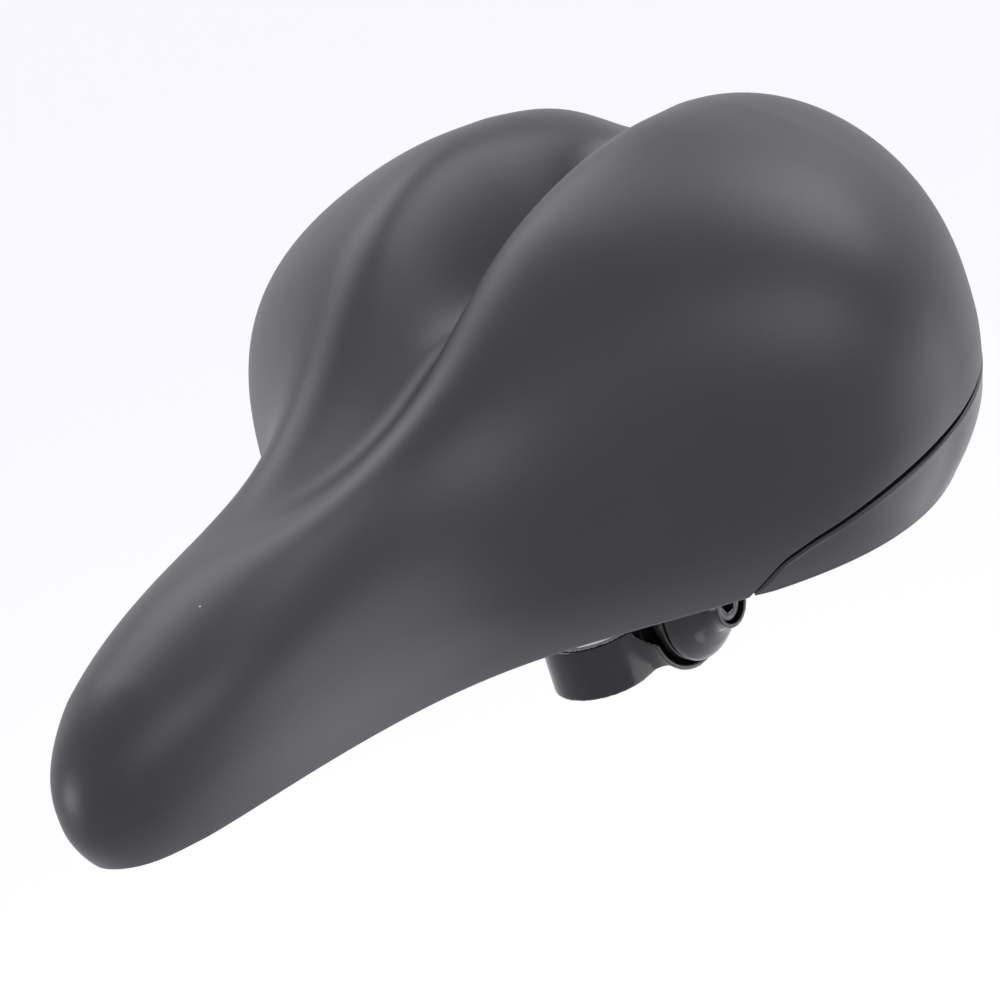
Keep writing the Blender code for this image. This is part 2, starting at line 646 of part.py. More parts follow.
def make_washer(side, word, parent):
    zinc = material("washer_zinc_" + word, (0.6, 0.6, 0.62), 0.3, 1.0)
    low, high, radius = WASHER
    inner = BOLT_RADIUS + GAP
    ring = [(inner, side * low), (radius, side * low), (radius, side * high), (inner, side * high)]
    return add_object("washer_" + word, turned(ring, 24, "Y", (BOLT_X, 0.0, BOLT_Z)), zinc, parent)


def make_bolt(parent):
    zinc = material("bolt_zinc", (0.62, 0.62, 0.64), 0.25, 1.0)
    chamfer = 0.4
    low = WASHER[1] + GAP
    profile = [(0.0, BOLT_END), (BOLT_RADIUS - 0.6, BOLT_END), (BOLT_RADIUS, BOLT_END + 0.6),
               (BOLT_RADIUS, low), (HEAD_RADIUS - chamfer, low), (HEAD_RADIUS, low + chamfer),
               (HEAD_RADIUS, HEAD_TOP - chamfer), (HEAD_RADIUS - chamfer, HEAD_TOP), (0.0, HEAD_TOP)]
    bolt = add_object("clamp_bolt", turned(profile, 24, "Y", (BOLT_X, 0.0, BOLT_Z)), zinc, parent)
    key = hexagon(KEY_FLATS, KEY_FLOOR, HEAD_TOP + 2.0)
    boolean(bolt, add_object("hex_key_space", key, None))
    return bolt


def make_nut(parent):
    zinc = material("nut_zinc", (0.58, 0.58, 0.6), 0.35, 1.0)
    nut = add_object("clamp_nut", hexagon(NUT_FLATS, *NUT_FACES), zinc, parent)
    bore = BOLT_RADIUS + GAP
    hole = turned([(0.0, -35.0), (bore, -35.0), (bore, -20.0), (0.0, -20.0)],
                  24, "Y", (BOLT_X, 0.0, BOLT_Z))
    boolean(nut, add_object("nut_thread_space", hole, None))
    return nut


def make_clamp():
    root = pivot("post_axis", (0.0, 0.0, 0.0))
    make_band(root)
    cradle = pivot("tilt_axis", (BOLT_X, 0.0, BOLT_Z), root)
    for side, word, boss in ((1, "left", BOSS_LEFT), (-1, "right", BOSS_RIGHT)):
        make_ratchet_plate(side, word, cradle)
        plate = make_clamp_plate(side, word, boss, cradle)
        make_washer(side, word, cradle)
        if side < 0:
            pocket = hexagon(NUT_POCKET_FLATS, -35.0, -HEAD_SEAT)
            boolean(plate, add_object("nut_pocket", pocket, None))
    make_nut(cradle)
    spin = pivot("bolt_axis", (BOLT_X, 0.0, BOLT_Z), cradle)
    make_bolt(spin)
    return cradle


def main():
    clear_scene()
    cradle = make_clamp()
    slide = pivot("rail_slide", (BOLT_X, 0.0, RAIL_HEIGHT), cradle)
    make_shell(slide)
    make_foam(slide)
    make_cover(slide)
    make_bumper(slide)
    make_rails(slide)
    make_sockets(slide)
    make_screws(slide)


main()
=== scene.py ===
"""Looks of the bicycle saddle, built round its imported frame.

Metres, +Z up, +X to the nose, +Y to the rider's left; the origin is on the seat-post axis.
"""
import json
import math

import bmesh
import bpy
import numpy as np
from mathutils import Matrix, Vector


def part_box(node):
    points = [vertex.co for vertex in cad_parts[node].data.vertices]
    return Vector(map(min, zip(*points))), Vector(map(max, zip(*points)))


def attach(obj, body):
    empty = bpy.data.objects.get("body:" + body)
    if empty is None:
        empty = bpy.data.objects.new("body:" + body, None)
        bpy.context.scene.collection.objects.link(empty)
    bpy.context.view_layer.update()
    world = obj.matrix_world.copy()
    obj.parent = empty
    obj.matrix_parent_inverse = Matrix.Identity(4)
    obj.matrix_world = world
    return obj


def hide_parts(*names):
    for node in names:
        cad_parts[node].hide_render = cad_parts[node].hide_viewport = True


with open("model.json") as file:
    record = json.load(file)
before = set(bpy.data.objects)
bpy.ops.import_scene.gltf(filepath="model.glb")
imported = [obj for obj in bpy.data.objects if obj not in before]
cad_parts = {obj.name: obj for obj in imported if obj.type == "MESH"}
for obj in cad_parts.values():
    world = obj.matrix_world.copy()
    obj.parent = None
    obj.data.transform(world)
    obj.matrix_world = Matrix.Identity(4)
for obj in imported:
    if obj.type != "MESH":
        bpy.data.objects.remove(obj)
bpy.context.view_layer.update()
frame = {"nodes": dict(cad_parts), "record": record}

# ==== Cover ====
# The seat's skin is one seamless sheet of polyurethane, moulded matt with a fine grain.
# It is stretched over the foam and rolled in along its lower edge, where the base shell
# and, behind, the bumper meet it.

MM = 0.001

# Half outline from the nose to the rear: x, half width, height of the widest line,
# height of the lower edge. The points steer a closed uniform cubic B-spline.
OUTLINE = np.array([
    (181.0, 0.0, 64.0, 52.5),
    (171.5, 14.0, 62.0, 49.5),
    (141.0, 25.0, 69.0, 50.5),
    (102.0, 25.5, 69.5, 45.0),
    (54.0, 33.5, 52.0, 37.5),
    (13.5, 81.0, 51.0, 32.6),
    (-24.0, 110.0, 66.0, 34.5),
    (-79.5, 87.5, 62.5, 44.0),
    (-113.0, 52.5, 69.0, 36.5),
    (-103.0, 0.0, 70.5, 38.0),
])
CREST = ([-100, -70, -35, 5, 50, 95, 140, 175],
         [132.5, 133.7, 137.0, 131.4, 112.0, 100.8, 90.8, 81.2])
GROOVE_DEPTH = ([-100, -65, -25, 25, 75, 115, 175],
                [17.2, 15.1, 37.5, 23.2, 12.6, 0.8, -1.0])
GROOVE_WIDTH = ([-95, -35, 45, 175], [28.2, 17.2, 14.6, 15.9])
SIDE_FALL = ([-85, -15, 65], [5.8, 3.9, -1.3])
CROWN_POWER = 0.76
TUCK = ([-95, 25, 175], [9.9, 7.0, 4.2])
SPINE_REAR = 45.0
SPINE_NOSE = 22.0
BELLY = ([-100, -60, -20], [1.7, 1.6, 0.0])
SEAM_TIP_X = 18.4
SEAM = ([-60, -41, -22, -6, 2, 10, 14, 16.8, SEAM_TIP_X],
        [0.36, 0.335, 0.33, 0.38, 0.44, 0.53, 0.64, 0.85, 1.0])
SEAM_GAP = 0.062
CLIMB_CROWDING = 1.6
CLIMB_BACK = 6
CLIMB_REACH = 9
FALL_HALF_WIDTH = 80.0
COVER_WALL = 1.2
COVER_COLUMNS = 360
COVER_TOP_ROWS = 64
COVER_SIDE_ROWS = 30
SEGMENTS = 2 * len(OUTLINE) - 2


def smooth_curve(table, x):
    """Cubic Hermite curve through the table's points, level beyond its ends."""
    xs, ys = np.asarray(table[0], float), np.asarray(table[1], float)
    slopes = np.gradient(ys, xs)
    x = np.clip(x, xs[0], xs[-1])
    k = np.clip(np.searchsorted(xs, x) - 1, 0, len(xs) - 2)
    h = xs[k + 1] - xs[k]
    t = (x - xs[k]) / h
    start = (2 * t**3 - 3 * t**2 + 1) * ys[k] + (t**3 - 2 * t**2 + t) * h * slopes[k]
    end = (-2 * t**3 + 3 * t**2) * ys[k + 1] + (t**3 - t**2) * h * slopes[k + 1]
    return start + end


def outline(u):
    """Closed uniform cubic B-spline through the mirrored outline; u counts segments."""
    control = np.vstack([OUTLINE, OUTLINE[1:-1][::-1] * [1, -1, 1, 1]])
    i = np.floor(u).astype(int)
    f = (u - i)[:, None]
    a, b, c, d = (control[(i + k) % len(control)] for k in (-1, 0, 1, 2))
    return ((1 - f)**3 * a + (3 * f**3 - 6 * f**2 + 4) * b
            + (-3 * f**3 + 3 * f**2 + 3 * f + 1) * c + f**3 * d) / 6


DENSE_U = np.linspace(0, SEGMENTS, 3601)
DENSE = outline(DENSE_U)
SPINE_LIMITS = (DENSE[:, 0].min() + SPINE_REAR, DENSE[:, 0].max() - SPINE_NOSE)


def even_loop(columns):
    """Spline places at even steps along the outline, closer where the seam climbs."""
    step = np.hypot(np.diff(DENSE[:, 0]), np.diff(DENSE[:, 1]))
    middle = (DENSE[1:, 0] + DENSE[:-1, 0]) / 2
    weight = 1 + CLIMB_CROWDING * np.exp(-((middle - SEAM_TIP_X + CLIMB_BACK) / CLIMB_REACH)**2)
    way = np.concatenate([[0], np.cumsum(step * weight)])
    return np.interp(np.linspace(0, way[-1], columns, endpoint=False), way, DENSE_U)


def top_height(x, y):
    """Height of the seat's top: its crest less a Gaussian groove and a fall to the sides."""
    groove = smooth_curve(GROOVE_DEPTH, x) * np.exp(-(y / smooth_curve(GROOVE_WIDTH, x))**2)
    fall = smooth_curve(SIDE_FALL, x) * (y / FALL_HALF_WIDTH)**2
    return smooth_curve(CREST, x) - groove - fall


def seam_share(loop):
    """Share of the lower side above the seam: all of it ahead of the bumper's tip."""
    return smooth_curve(SEAM, loop[:, 0])


def side_point(loop, share, inset=0.0):
    """Lower side: falls in a line from the widest line to the edge. It tucks in by the
    square of the share and swells low down by a sine of its cube; inset moves it
    towards the spine."""
    spine = np.clip(loop[:, 0], *SPINE_LIMITS)
    dx = loop[:, 0] - spine
    reach = np.hypot(dx, loop[:, 1])
    tuck = np.interp(loop[:, 0], *TUCK) * share**2
    belly = np.interp(loop[:, 0], *BELLY) * np.sin(np.pi * share**3)
    keep = 1 - (tuck - belly + inset) / reach
    z = loop[:, 2] + (loop[:, 3] - loop[:, 2]) * share
    return np.stack([spine + dx * keep, loop[:, 1] * keep, z], axis=-1)


def upper_point(loop, t):
    """Top: goes out by the sine of t and down by a power of its cosine, t in 0 to 1."""
    spine = np.clip(loop[:, 0], *SPINE_LIMITS)
    reach = math.sin(t * math.pi / 2)
    lift = max(math.cos(t * math.pi / 2), 0.0)**CROWN_POWER
    x = spine + (loop[:, 0] - spine) * reach
    y = loop[:, 1] * reach
    z = loop[:, 2] + (top_height(x, y) - loop[:, 2]) * lift
    return np.stack([x, y, z], axis=-1)


def grid_normals(rows):
    """Outward normals of a grid whose columns go round and whose rows go down."""
    along = np.roll(rows, -1, axis=1) - np.roll(rows, 1, axis=1)
    down = np.gradient(rows, axis=0)
    normal = np.cross(down, along)
    x = rows[0, :, 0]
    slope = (top_height(x + 0.5, 0 * x) - top_height(x - 0.5, 0 * x))
    normal[0] = np.stack([-slope, 0 * x, np.ones_like(x)], axis=1)
    normal[1:] *= np.where(normal[1, :, 2] < 0, -1.0, 1.0)[None, :, None]
    return normal / np.linalg.norm(normal, axis=2, keepdims=True)


def new_object(name, verts, quads, weld=False, crease=None):
    """Mesh object from vertices in millimetres and quads, smooth shaded, faces outward."""
    mesh = bpy.data.meshes.new(name)
    verts = np.asarray(verts, float).reshape(-1, 3) * MM
    mesh.from_pydata(verts.tolist(), [], np.asarray(quads).reshape(-1, 4).tolist())
    bm = bmesh.new()
    bm.from_mesh(mesh)
    if weld:
        bmesh.ops.remove_doubles(bm, verts=bm.verts, dist=1e-7)
        bmesh.ops.dissolve_degenerate(bm, edges=bm.edges, dist=1e-8)
    bmesh.ops.recalc_face_normals(bm, faces=bm.faces)
    bm.to_mesh(mesh)
    bm.free()
    mesh.shade_smooth()
    if crease is not None:
        mesh.set_sharp_from_angle(angle=math.radians(crease))
    obj = bpy.data.objects.new(name, mesh)
    bpy.context.scene.collection.objects.link(obj)
    return obj


def grid_quads(rows, cols, wrap_rows=False, wrap_cols=True):
    """Quads that join a rows by cols grid, round its columns and, if asked, its rows."""
    index = np.arange(rows * cols).reshape(rows, cols)
    down = np.roll(index, -1, axis=0)
    side = np.roll(index, -1, axis=1)
    both = np.roll(down, -1, axis=1)
    quads = np.stack([index, side, both, down], axis=-1)
    if not wrap_rows:
        quads = quads[:-1]
    if not wrap_cols:
        quads = quads[:, :-1]
    return quads.reshape(-1, 4)


def rolled_edge(point, normal, down, wall, steps=6):
    """Rows of a half round that turns an edge inward: radius half the wall."""
    radius = wall / 2
    turn = np.pi * np.arange(1, steps) / steps
    return np.stack([point - radius * (1 - math.cos(a)) * normal + radius * math.sin(a) * down
                     for a in turn])


def body_skin(columns, upper_steps, lower_steps, end_share, inset=0.0):
    """Rows of the seat's outer surface from the spine to end_share, moved inward."""
    loop = outline(even_loop(columns))
    end = end_share(loop)
    rows = [upper_point(loop, t) for t in np.linspace(0, 1, upper_steps)]
    rows += [side_point(loop, end * k / lower_steps) for k in range(1, lower_steps + 1)]
    rows = np.array(rows)
    normals = grid_normals(rows)
    return rows - inset * normals, normals


skin, skin_normals = body_skin(COVER_COLUMNS, COVER_TOP_ROWS, COVER_SIDE_ROWS, seam_share)
edge_down = skin[-1] - skin[-2]
edge_down /= np.linalg.norm(edge_down, axis=1, keepdims=True)
cover_rows = np.concatenate([
    skin, rolled_edge(skin[-1], skin_normals[-1], edge_down, COVER_WALL),
    (skin - COVER_WALL * skin_normals)[::-1]])
cover = new_object("cover_skin_moulded", cover_rows, grid_quads(*cover_rows.shape[:2]), weld=True)


def new_material(name, colour, roughness, metallic=0.0, **sockets):
    """Principled material with its constants; returns it with its tree and shader."""
    mat = bpy.data.materials.new(name)
    mat.use_nodes = True
    shader = mat.node_tree.nodes["Principled BSDF"]
    shader.inputs["Base Color"].default_value = (*colour, 1.0)
    shader.inputs["Roughness"].default_value = roughness
    shader.inputs["Metallic"].default_value = metallic
    for key, value in sockets.items():
        shader.inputs[key.replace("_", " ")].default_value = value
    return mat, mat.node_tree, shader


def add_node(tree, kind, **settings):
    """Node of a kind, with attributes set by name and inputs set by their label."""
    node = tree.nodes.new(kind)
    for key, value in settings.items():
        if hasattr(node, key):
            setattr(node, key, value)
        else:
            node.inputs[key.replace("_", " ")].default_value = value
    return node


def group_tree(name, inputs, outputs):
    """Node group with typed inputs and outputs and nothing between them yet."""
    tree = bpy.data.node_groups.new(name, "ShaderNodeTree")
    for label, kind, value in inputs:
        socket = tree.interface.new_socket(label, in_out="INPUT", socket_type=kind)
        if value is not None:
            socket.default_value = value
    for label, kind in outputs:
        tree.interface.new_socket(label, in_out="OUTPUT", socket_type=kind)
    return tree, tree.nodes.new("NodeGroupInput"), tree.nodes.new("NodeGroupOutput")


def make_grain_group():
    """Moulded grain: small cells whose borders sink, with finer noise over them.

    Puts out a bump height and a slow blotch from 0 to 1."""
    tree, given, out = group_tree(
        "moulded_grain",
        [("Cell Scale", "NodeSocketFloat", 1400.0), ("Blotch Scale", "NodeSocketFloat", 18.0)],
        [("Height", "NodeSocketFloat"), ("Blotch", "NodeSocketFloat")])
    link = tree.links.new
    place = add_node(tree, "ShaderNodeTexCoord")
    cells = add_node(tree, "ShaderNodeTexVoronoi", feature="DISTANCE_TO_EDGE")
    fine = add_node(tree, "ShaderNodeTexNoise", Scale=2600.0, Detail=2.0, Roughness=0.6)
    slow = add_node(tree, "ShaderNodeTexNoise", Detail=3.0, Roughness=0.55)
    cap = add_node(tree, "ShaderNodeMapRange")
    cap.inputs["From Max"].default_value = 0.35
    mix = add_node(tree, "ShaderNodeMath", operation="MULTIPLY_ADD")
    mix.inputs[1].default_value = 0.45
    for node in (cells, fine, slow):
        link(place.outputs["Object"], node.inputs["Vector"])
    link(given.outputs["Cell Scale"], cells.inputs["Scale"])
    link(given.outputs["Blotch Scale"], slow.inputs["Scale"])
    link(cells.outputs["Distance"], cap.inputs["Value"])
    link(fine.outputs["Fac"], mix.inputs[0])
    link(cap.outputs["Result"], mix.inputs[2])
    link(mix.outputs["Value"], out.inputs["Height"])
    link(slow.outputs["Fac"], out.inputs["Blotch"])
    return tree


def place_group(tree, group, **values):
    """Node that stands for a group, with its inputs set by their label."""
    node = tree.nodes.new("ShaderNodeGroup")
    node.node_tree = group
    for key, value in values.items():
        node.inputs[key.replace("_", " ")].default_value = value
    return node


def ramp(tree, source, stops):
    """Colour ramp fed by source; stops are (position, grey or colour)."""
    node = tree.nodes.new("ShaderNodeValToRGB")
    elements = node.color_ramp.elements
    for k, (position, colour) in enumerate(stops):
        element = elements[k] if k < 2 else elements.new(position)
        element.position = position
        colour = (colour,) * 3 if isinstance(colour, float) else colour
        element.color = (*colour, 1.0)
    tree.links.new(source, node.inputs["Fac"])
    return node


def bump(tree, source, shader, strength, distance):
    """Bump from a height, its distance in metres."""
    node = add_node(tree, "ShaderNodeBump", Strength=strength, Distance=distance)
    tree.links.new(source, node.inputs["Height"])
    tree.links.new(node.outputs["Normal"], shader.inputs["Normal"])


def make_speck_group():
    """Dust: one cell in fourteen holds a pale dot, and few dots meet the surface.

    Puts out the given colour with the dots laid over it."""
    tree, given, out = group_tree(
        "dust_specks",
        [("Color", "NodeSocketColor", None), ("Dust", "NodeSocketColor", (0.3, 0.3, 0.3, 1.0)),
         ("Scale", "NodeSocketFloat", 130.0)],
        [("Color", "NodeSocketColor")])
    link = tree.links.new
    place = add_node(tree, "ShaderNodeTexCoord")
    cells = add_node(tree, "ShaderNodeTexVoronoi")
    chosen = add_node(tree, "ShaderNodeMath", operation="GREATER_THAN")
    chosen.inputs[1].default_value = 0.93
    near = add_node(tree, "ShaderNodeMath", operation="LESS_THAN")
    near.inputs[1].default_value = 0.035
    both = add_node(tree, "ShaderNodeMath", operation="MULTIPLY")
    channels = add_node(tree, "ShaderNodeSeparateColor")
    mix = add_node(tree, "ShaderNodeMix", data_type="RGBA")
    link(place.outputs["Object"], cells.inputs["Vector"])
    link(given.outputs["Scale"], cells.inputs["Scale"])
    link(cells.outputs["Color"], channels.inputs["Color"])
    link(channels.outputs["Red"], chosen.inputs[0])
    link(cells.outputs["Distance"], near.inputs[0])
    link(chosen.outputs["Value"], both.inputs[0])
    link(near.outputs["Value"], both.inputs[1])
    link(both.outputs["Value"], mix.inputs["Factor"])
    link(given.outputs["Color"], mix.inputs["A"])
    link(given.outputs["Dust"], mix.inputs["B"])
    link(mix.outputs["Result"], out.inputs["Color"])
    return tree


GRAIN = make_grain_group()
SPECKS = make_speck_group()


def specked(tree, source, shader, scale):
    """Lay dust specks over a colour on its way to the shader."""
    dust = place_group(tree, SPECKS, Scale=scale)
    tree.links.new(source, dust.inputs["Color"])
    tree.links.new(dust.outputs["Color"], shader.inputs["Base Color"])


def make_cover_material():
    """Charcoal skin: slow blotches shift its colour and dullness, grain breaks its gloss."""
    mat, tree, shader = new_material("charcoal_skin", (0.012, 0.0115, 0.0145), 0.42,
                                     Specular_IOR_Level=0.42)
    grain = place_group(tree, GRAIN, Cell_Scale=1900.0, Blotch_Scale=22.0)
    colour = ramp(tree, grain.outputs["Blotch"],
                  [(0.3, (0.0105, 0.0098, 0.0135)), (0.7, (0.0135, 0.0125, 0.0165))])
    dull = ramp(tree, grain.outputs["Blotch"], [(0.3, 0.4), (0.7, 0.44)])
    specked(tree, colour.outputs["Color"], shader, 130.0)
    tree.links.new(dull.outputs["Color"], shader.inputs["Roughness"])
    bump(tree, grain.outputs["Height"], shader, 0.2, 0.00004)
    return mat


def dress(obj, *materials):
    """Give a piece its materials, in place of any its tools have left."""
    obj.data.materials.clear()
    for material in materials:
        obj.data.materials.append(material)


dress(cover, make_cover_material())
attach(cover, "saddle")
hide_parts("cover")

# ==== Foam pad ====
# A block of moulded polyurethane foam fills the space between the cover and the base
# shell; it is open-celled and cream, and can't be seen once the seat is closed.

SHELL_WALL = 2.6
SHELL_INSET = 2.6
SHELL_CROWN = ([-85, -25, 25, 75, 155], [74.0, 72.0, 66.0, 61.5, 63.0])
SHELL_POWER = ([20, 90], [0.8, 0.3])
SHELL_LEDGE = ([10, 60], [17.0, 0.6])
CLEARANCE = 0.3
FOAM_COLUMNS = 180
FOAM_END = 0.9


def shell_rows(columns, inset, drop, lift=0.0, steps=40):
    """Shell surface: a cosine dome inside a flat border, from the spine to the rim."""
    loop = outline(even_loop(columns))
    rim = side_point(loop, seam_share(loop), inset)
    spine = np.clip(loop[:, 0], *SPINE_LIMITS)
    dx = rim[:, 0] - spine
    reach = np.hypot(dx, rim[:, 1])
    border = smooth_curve(SHELL_LEDGE, loop[:, 0])
    power = np.interp(loop[:, 0], *SHELL_POWER)
    rows = []
    for t in np.sin(np.linspace(0, 1, steps) * np.pi / 2):
        keep = t * (1 - border / reach)
        x = spine + dx * keep
        crown = smooth_curve(SHELL_CROWN, x) - drop
        rise = max(math.cos(t * math.pi / 2), 0.0)**power
        z = rim[:, 2] + lift + (crown - rim[:, 2] - lift) * rise
        rows.append(np.stack([x, rim[:, 1] * keep, z], axis=-1))
    rows.append(rim + [0, 0, lift])
    return np.array(rows)


foam_top, _ = body_skin(FOAM_COLUMNS, 32, 12, lambda loop: FOAM_END * seam_share(loop),
                        COVER_WALL + CLEARANCE)
foam_under = shell_rows(FOAM_COLUMNS, SHELL_INSET, 0.0, SHELL_WALL, 20) + [0, 0, CLEARANCE]
foam_rows = np.concatenate([foam_top, foam_under[::-1]])
foam = new_object("foam_block", foam_rows, grid_quads(*foam_rows.shape[:2]), weld=True)


def make_foam_material():
    """Cream open-cell foam: pores dent the surface, and painted shade darkens their centres."""
    mat, tree, shader = new_material("open_cell_foam", (0.62, 0.58, 0.48), 0.95)
    place = add_node(tree, "ShaderNodeTexCoord")
    pores = add_node(tree, "ShaderNodeTexVoronoi", Scale=900.0)
    tree.links.new(place.outputs["Object"], pores.inputs["Vector"])
    # Dark at the pores' centres: painted shade in the hollows.
    tone = ramp(tree, pores.outputs["Distance"],
                [(0.1, (0.4, 0.36, 0.28)), (0.5, (0.68, 0.64, 0.54))])
    tree.links.new(tone.outputs["Color"], shader.inputs["Base Color"])
    bump(tree, pores.outputs["Distance"], shader, 0.6, 0.0003)
    return mat


dress(foam, make_foam_material())
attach(foam, "saddle")
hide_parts("foam_pad")

# ==== Base shell ====
# The load-bearing pan under the foam is moulded in black polypropylene, 2.6 mm thick,
# with a flat border for the bumper and stiffening ribs across its hollow side.

SHELL_COLUMNS = 300
shell_top = shell_rows(SHELL_COLUMNS, SHELL_INSET, 0.0, SHELL_WALL)
shell_low = shell_rows(SHELL_COLUMNS, SHELL_INSET + SHELL_WALL, SHELL_WALL)
shell_loop = outline(even_loop(SHELL_COLUMNS))
shell_rim = side_point(shell_loop, seam_share(shell_loop), SHELL_INSET)
shell_all = np.concatenate([shell_top, shell_rim[None], shell_low[::-1]])
shell = new_object("shell_pan", shell_all, grid_quads(*shell_all.shape[:2]), weld=True,
                   crease=50)


def make_plastic(name, colour, roughness, grain_depth, spread=0.06, gleam=0.5):
    """Moulded plastic: spark-eroded grain, slow changes of gloss, and paler blotches."""
    mat, tree, shader = new_material(name, colour, roughness, Specular_IOR_Level=gleam)
    grain = place_group(tree, GRAIN, Cell_Scale=2200.0, Blotch_Scale=30.0)
    paler = tuple(min(1.0, c * 1.35) for c in colour)
    tone = ramp(tree, grain.outputs["Blotch"], [(0.35, colour), (0.75, paler)])
    gloss = ramp(tree, grain.outputs["Blotch"],
                 [(0.3, roughness - spread), (0.7, roughness + spread)])
    tree.links.new(tone.outputs["Color"], shader.inputs["Base Color"])
    tree.links.new(gloss.outputs["Color"], shader.inputs["Roughness"])
    bump(tree, grain.outputs["Height"], shader, 0.3, grain_depth)
    return mat


SHELL_PLASTIC = make_plastic("black_polypropylene", (0.02, 0.02, 0.021), 0.5, 0.00008)
dress(shell, SHELL_PLASTIC)
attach(shell, "saddle")
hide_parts("base_shell")

# ==== Rear bumper ====
# A satin plastic trim goes round the rear from one blunt tip to the other. Its wall
# carries the seat's outline on below the seam, and a flange above takes three screws.

BUMPER_WALL = 2.5
BUMPER_FLANGE = 16.5
BUMPER_ROUND = 0.7
BUMPER_TIP = 0.9
ROUND_STEPS = 6
BUMPER_COLUMNS = 480
TIP_GAP_GAIN = 1.4
TIP_GAP_REACH = 20.0

bumper_u = even_loop(BUMPER_COLUMNS)
bumper_u = bumper_u[outline(bumper_u)[:, 0] < SEAM_TIP_X - BUMPER_TIP]
bumper_loop = outline(bumper_u)
bumper_top = seam_share(bumper_loop)
tip_gap = TIP_GAP_GAIN - (SEAM_TIP_X - bumper_loop[:, 0]) / TIP_GAP_REACH
bumper_top += SEAM_GAP * np.clip(tip_gap, 1.0, TIP_GAP_GAIN)
bumper_height = np.abs(bumper_loop[:, 3] - bumper_loop[:, 2]) * (1 - bumper_top)
# The trim gets lower towards its tips, and its wall, corner and flange shrink with it.
bumper_wall = np.minimum(BUMPER_WALL, 0.35 * bumper_height + 0.3)


def bumper_section():
    """Section rows: quarter round at the top, wall, half round at the lower edge, inner
    wall, and the flange's lower face, end and upper face."""
    corner = np.minimum(BUMPER_ROUND, 0.3 * bumper_height)
    start = bumper_top + (1 - bumper_top) * corner / bumper_height
    face_z = side_point(bumper_loop, bumper_top)[:, 2]
    edge_z = bumper_loop[:, 3]
    rows = []
    for angle in np.linspace(0, np.pi / 2, ROUND_STEPS):
        point = side_point(bumper_loop, bumper_top, corner * (1 - math.sin(angle)))
        point[:, 2] = face_z - corner * (1 - math.cos(angle))
        rows.append(point)
    rows += [side_point(bumper_loop, start + (1 - start) * k)
             for k in np.linspace(0, 1, 16)[1:]]
    for angle in np.pi * np.arange(1, ROUND_STEPS) / ROUND_STEPS:
        radius = bumper_wall / 2
        point = side_point(bumper_loop, 1.0, radius * (1 - math.cos(angle)))
        point[:, 2] = edge_z - 0.6 * radius * math.sin(angle)
        rows.append(point)
    for k in np.linspace(1.0, 0.25, 8):
        share = bumper_top + (1 - bumper_top) * k
        rows.append(side_point(bumper_loop, share, bumper_wall))
    under_z = face_z - np.minimum(BUMPER_WALL, 0.4 * bumper_height)
    reach = np.minimum(BUMPER_FLANGE, bumper_wall + 0.9 * bumper_height)
    for inset, z in ((bumper_wall + 0.4, under_z), (reach, under_z), (reach, face_z)):
        point = side_point(bumper_loop, bumper_top, inset)
        point[:, 2] = z
        rows.append(point)
    return np.array(rows)


def close_ends(obj):
    """Fill the open ends of a swept mesh and turn its faces outward."""
    bm = bmesh.new()
    bm.from_mesh(obj.data)
    bmesh.ops.holes_fill(bm, edges=[edge for edge in bm.edges if edge.is_boundary], sides=0)
    bmesh.ops.triangulate(bm, faces=[face for face in bm.faces if len(face.verts) > 4])
    bmesh.ops.recalc_face_normals(bm, faces=bm.faces)
    bm.to_mesh(obj.data)
    bm.free()
    obj.data.set_sharp_from_angle(angle=math.radians(40))


section = bumper_section()
bumper = new_object("bumper_trim", section, grid_quads(*section.shape[:2], True, False))
close_ends(bumper)
BUMPER_PLASTIC = make_plastic("satin_trim", (0.0095, 0.009, 0.0105), 0.3, 0.00002, 0.03, 0.42)
dress(bumper, BUMPER_PLASTIC)
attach(bumper, "saddle")
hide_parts("rear_bumper")

# ==== Stiffening ribs ====
# Thin ribs are moulded with the base shell across its hollow side: two along it and
# the rest from one border to the other, deepest in the middle.

RIB_HALF = 0.8
RIB_SINK = 1.2
RIB_ACROSS = (-48, -24, 0, 24, 46, 66, 86, 104)
RIB_DEPTH = ((40, 100), (6.0, 2.2))
SPAR_SIDE = 13.0
SPAR_ENDS = (-56, 92)
SPAR_DEPTH = 3.0
NEAR_POINTS = 6


def under_height(x, y):
    """Height of the shell's lower face over places, from its nearest grid points."""
    spots = shell_low.reshape(-1, 3)
    gap = (spots[None, :, 0] - x[:, None])**2 + (spots[None, :, 1] - y[:, None])**2
    near = np.argpartition(gap, NEAR_POINTS, axis=1)[:, :NEAR_POINTS]
    weight = 1 / (np.take_along_axis(gap, near, axis=1) + 0.05)
    return (spots[near, 2] * weight).sum(axis=1) / weight.sum(axis=1)


def rib(path, depth):
    """Plate along a path: its top sinks into the shell, its lower edge is a half round,
    and its depth falls to nothing at both ends by one less the sixth power."""
    share = np.linspace(-1, 1, len(path))
    top = under_height(path[:, 0], path[:, 1]) + RIB_SINK
    low = top - RIB_SINK - depth * (1 - share**6) - 0.1
    along = np.gradient(path, axis=0)
    along /= np.linalg.norm(along, axis=1, keepdims=True)
    side = np.stack([-along[:, 1], along[:, 0]], axis=1)
    rows = []
    for offset, drop in ((1, 0), (1, 1), (0.6, 1.35), (0, 1.5), (-0.6, 1.35), (-1, 1), (-1, 0)):
        spot = path + side * RIB_HALF * offset
        z = top if drop == 0 else low - (drop - 1) * RIB_HALF
        rows.append(np.column_stack([spot, z]))
    return np.array(rows)


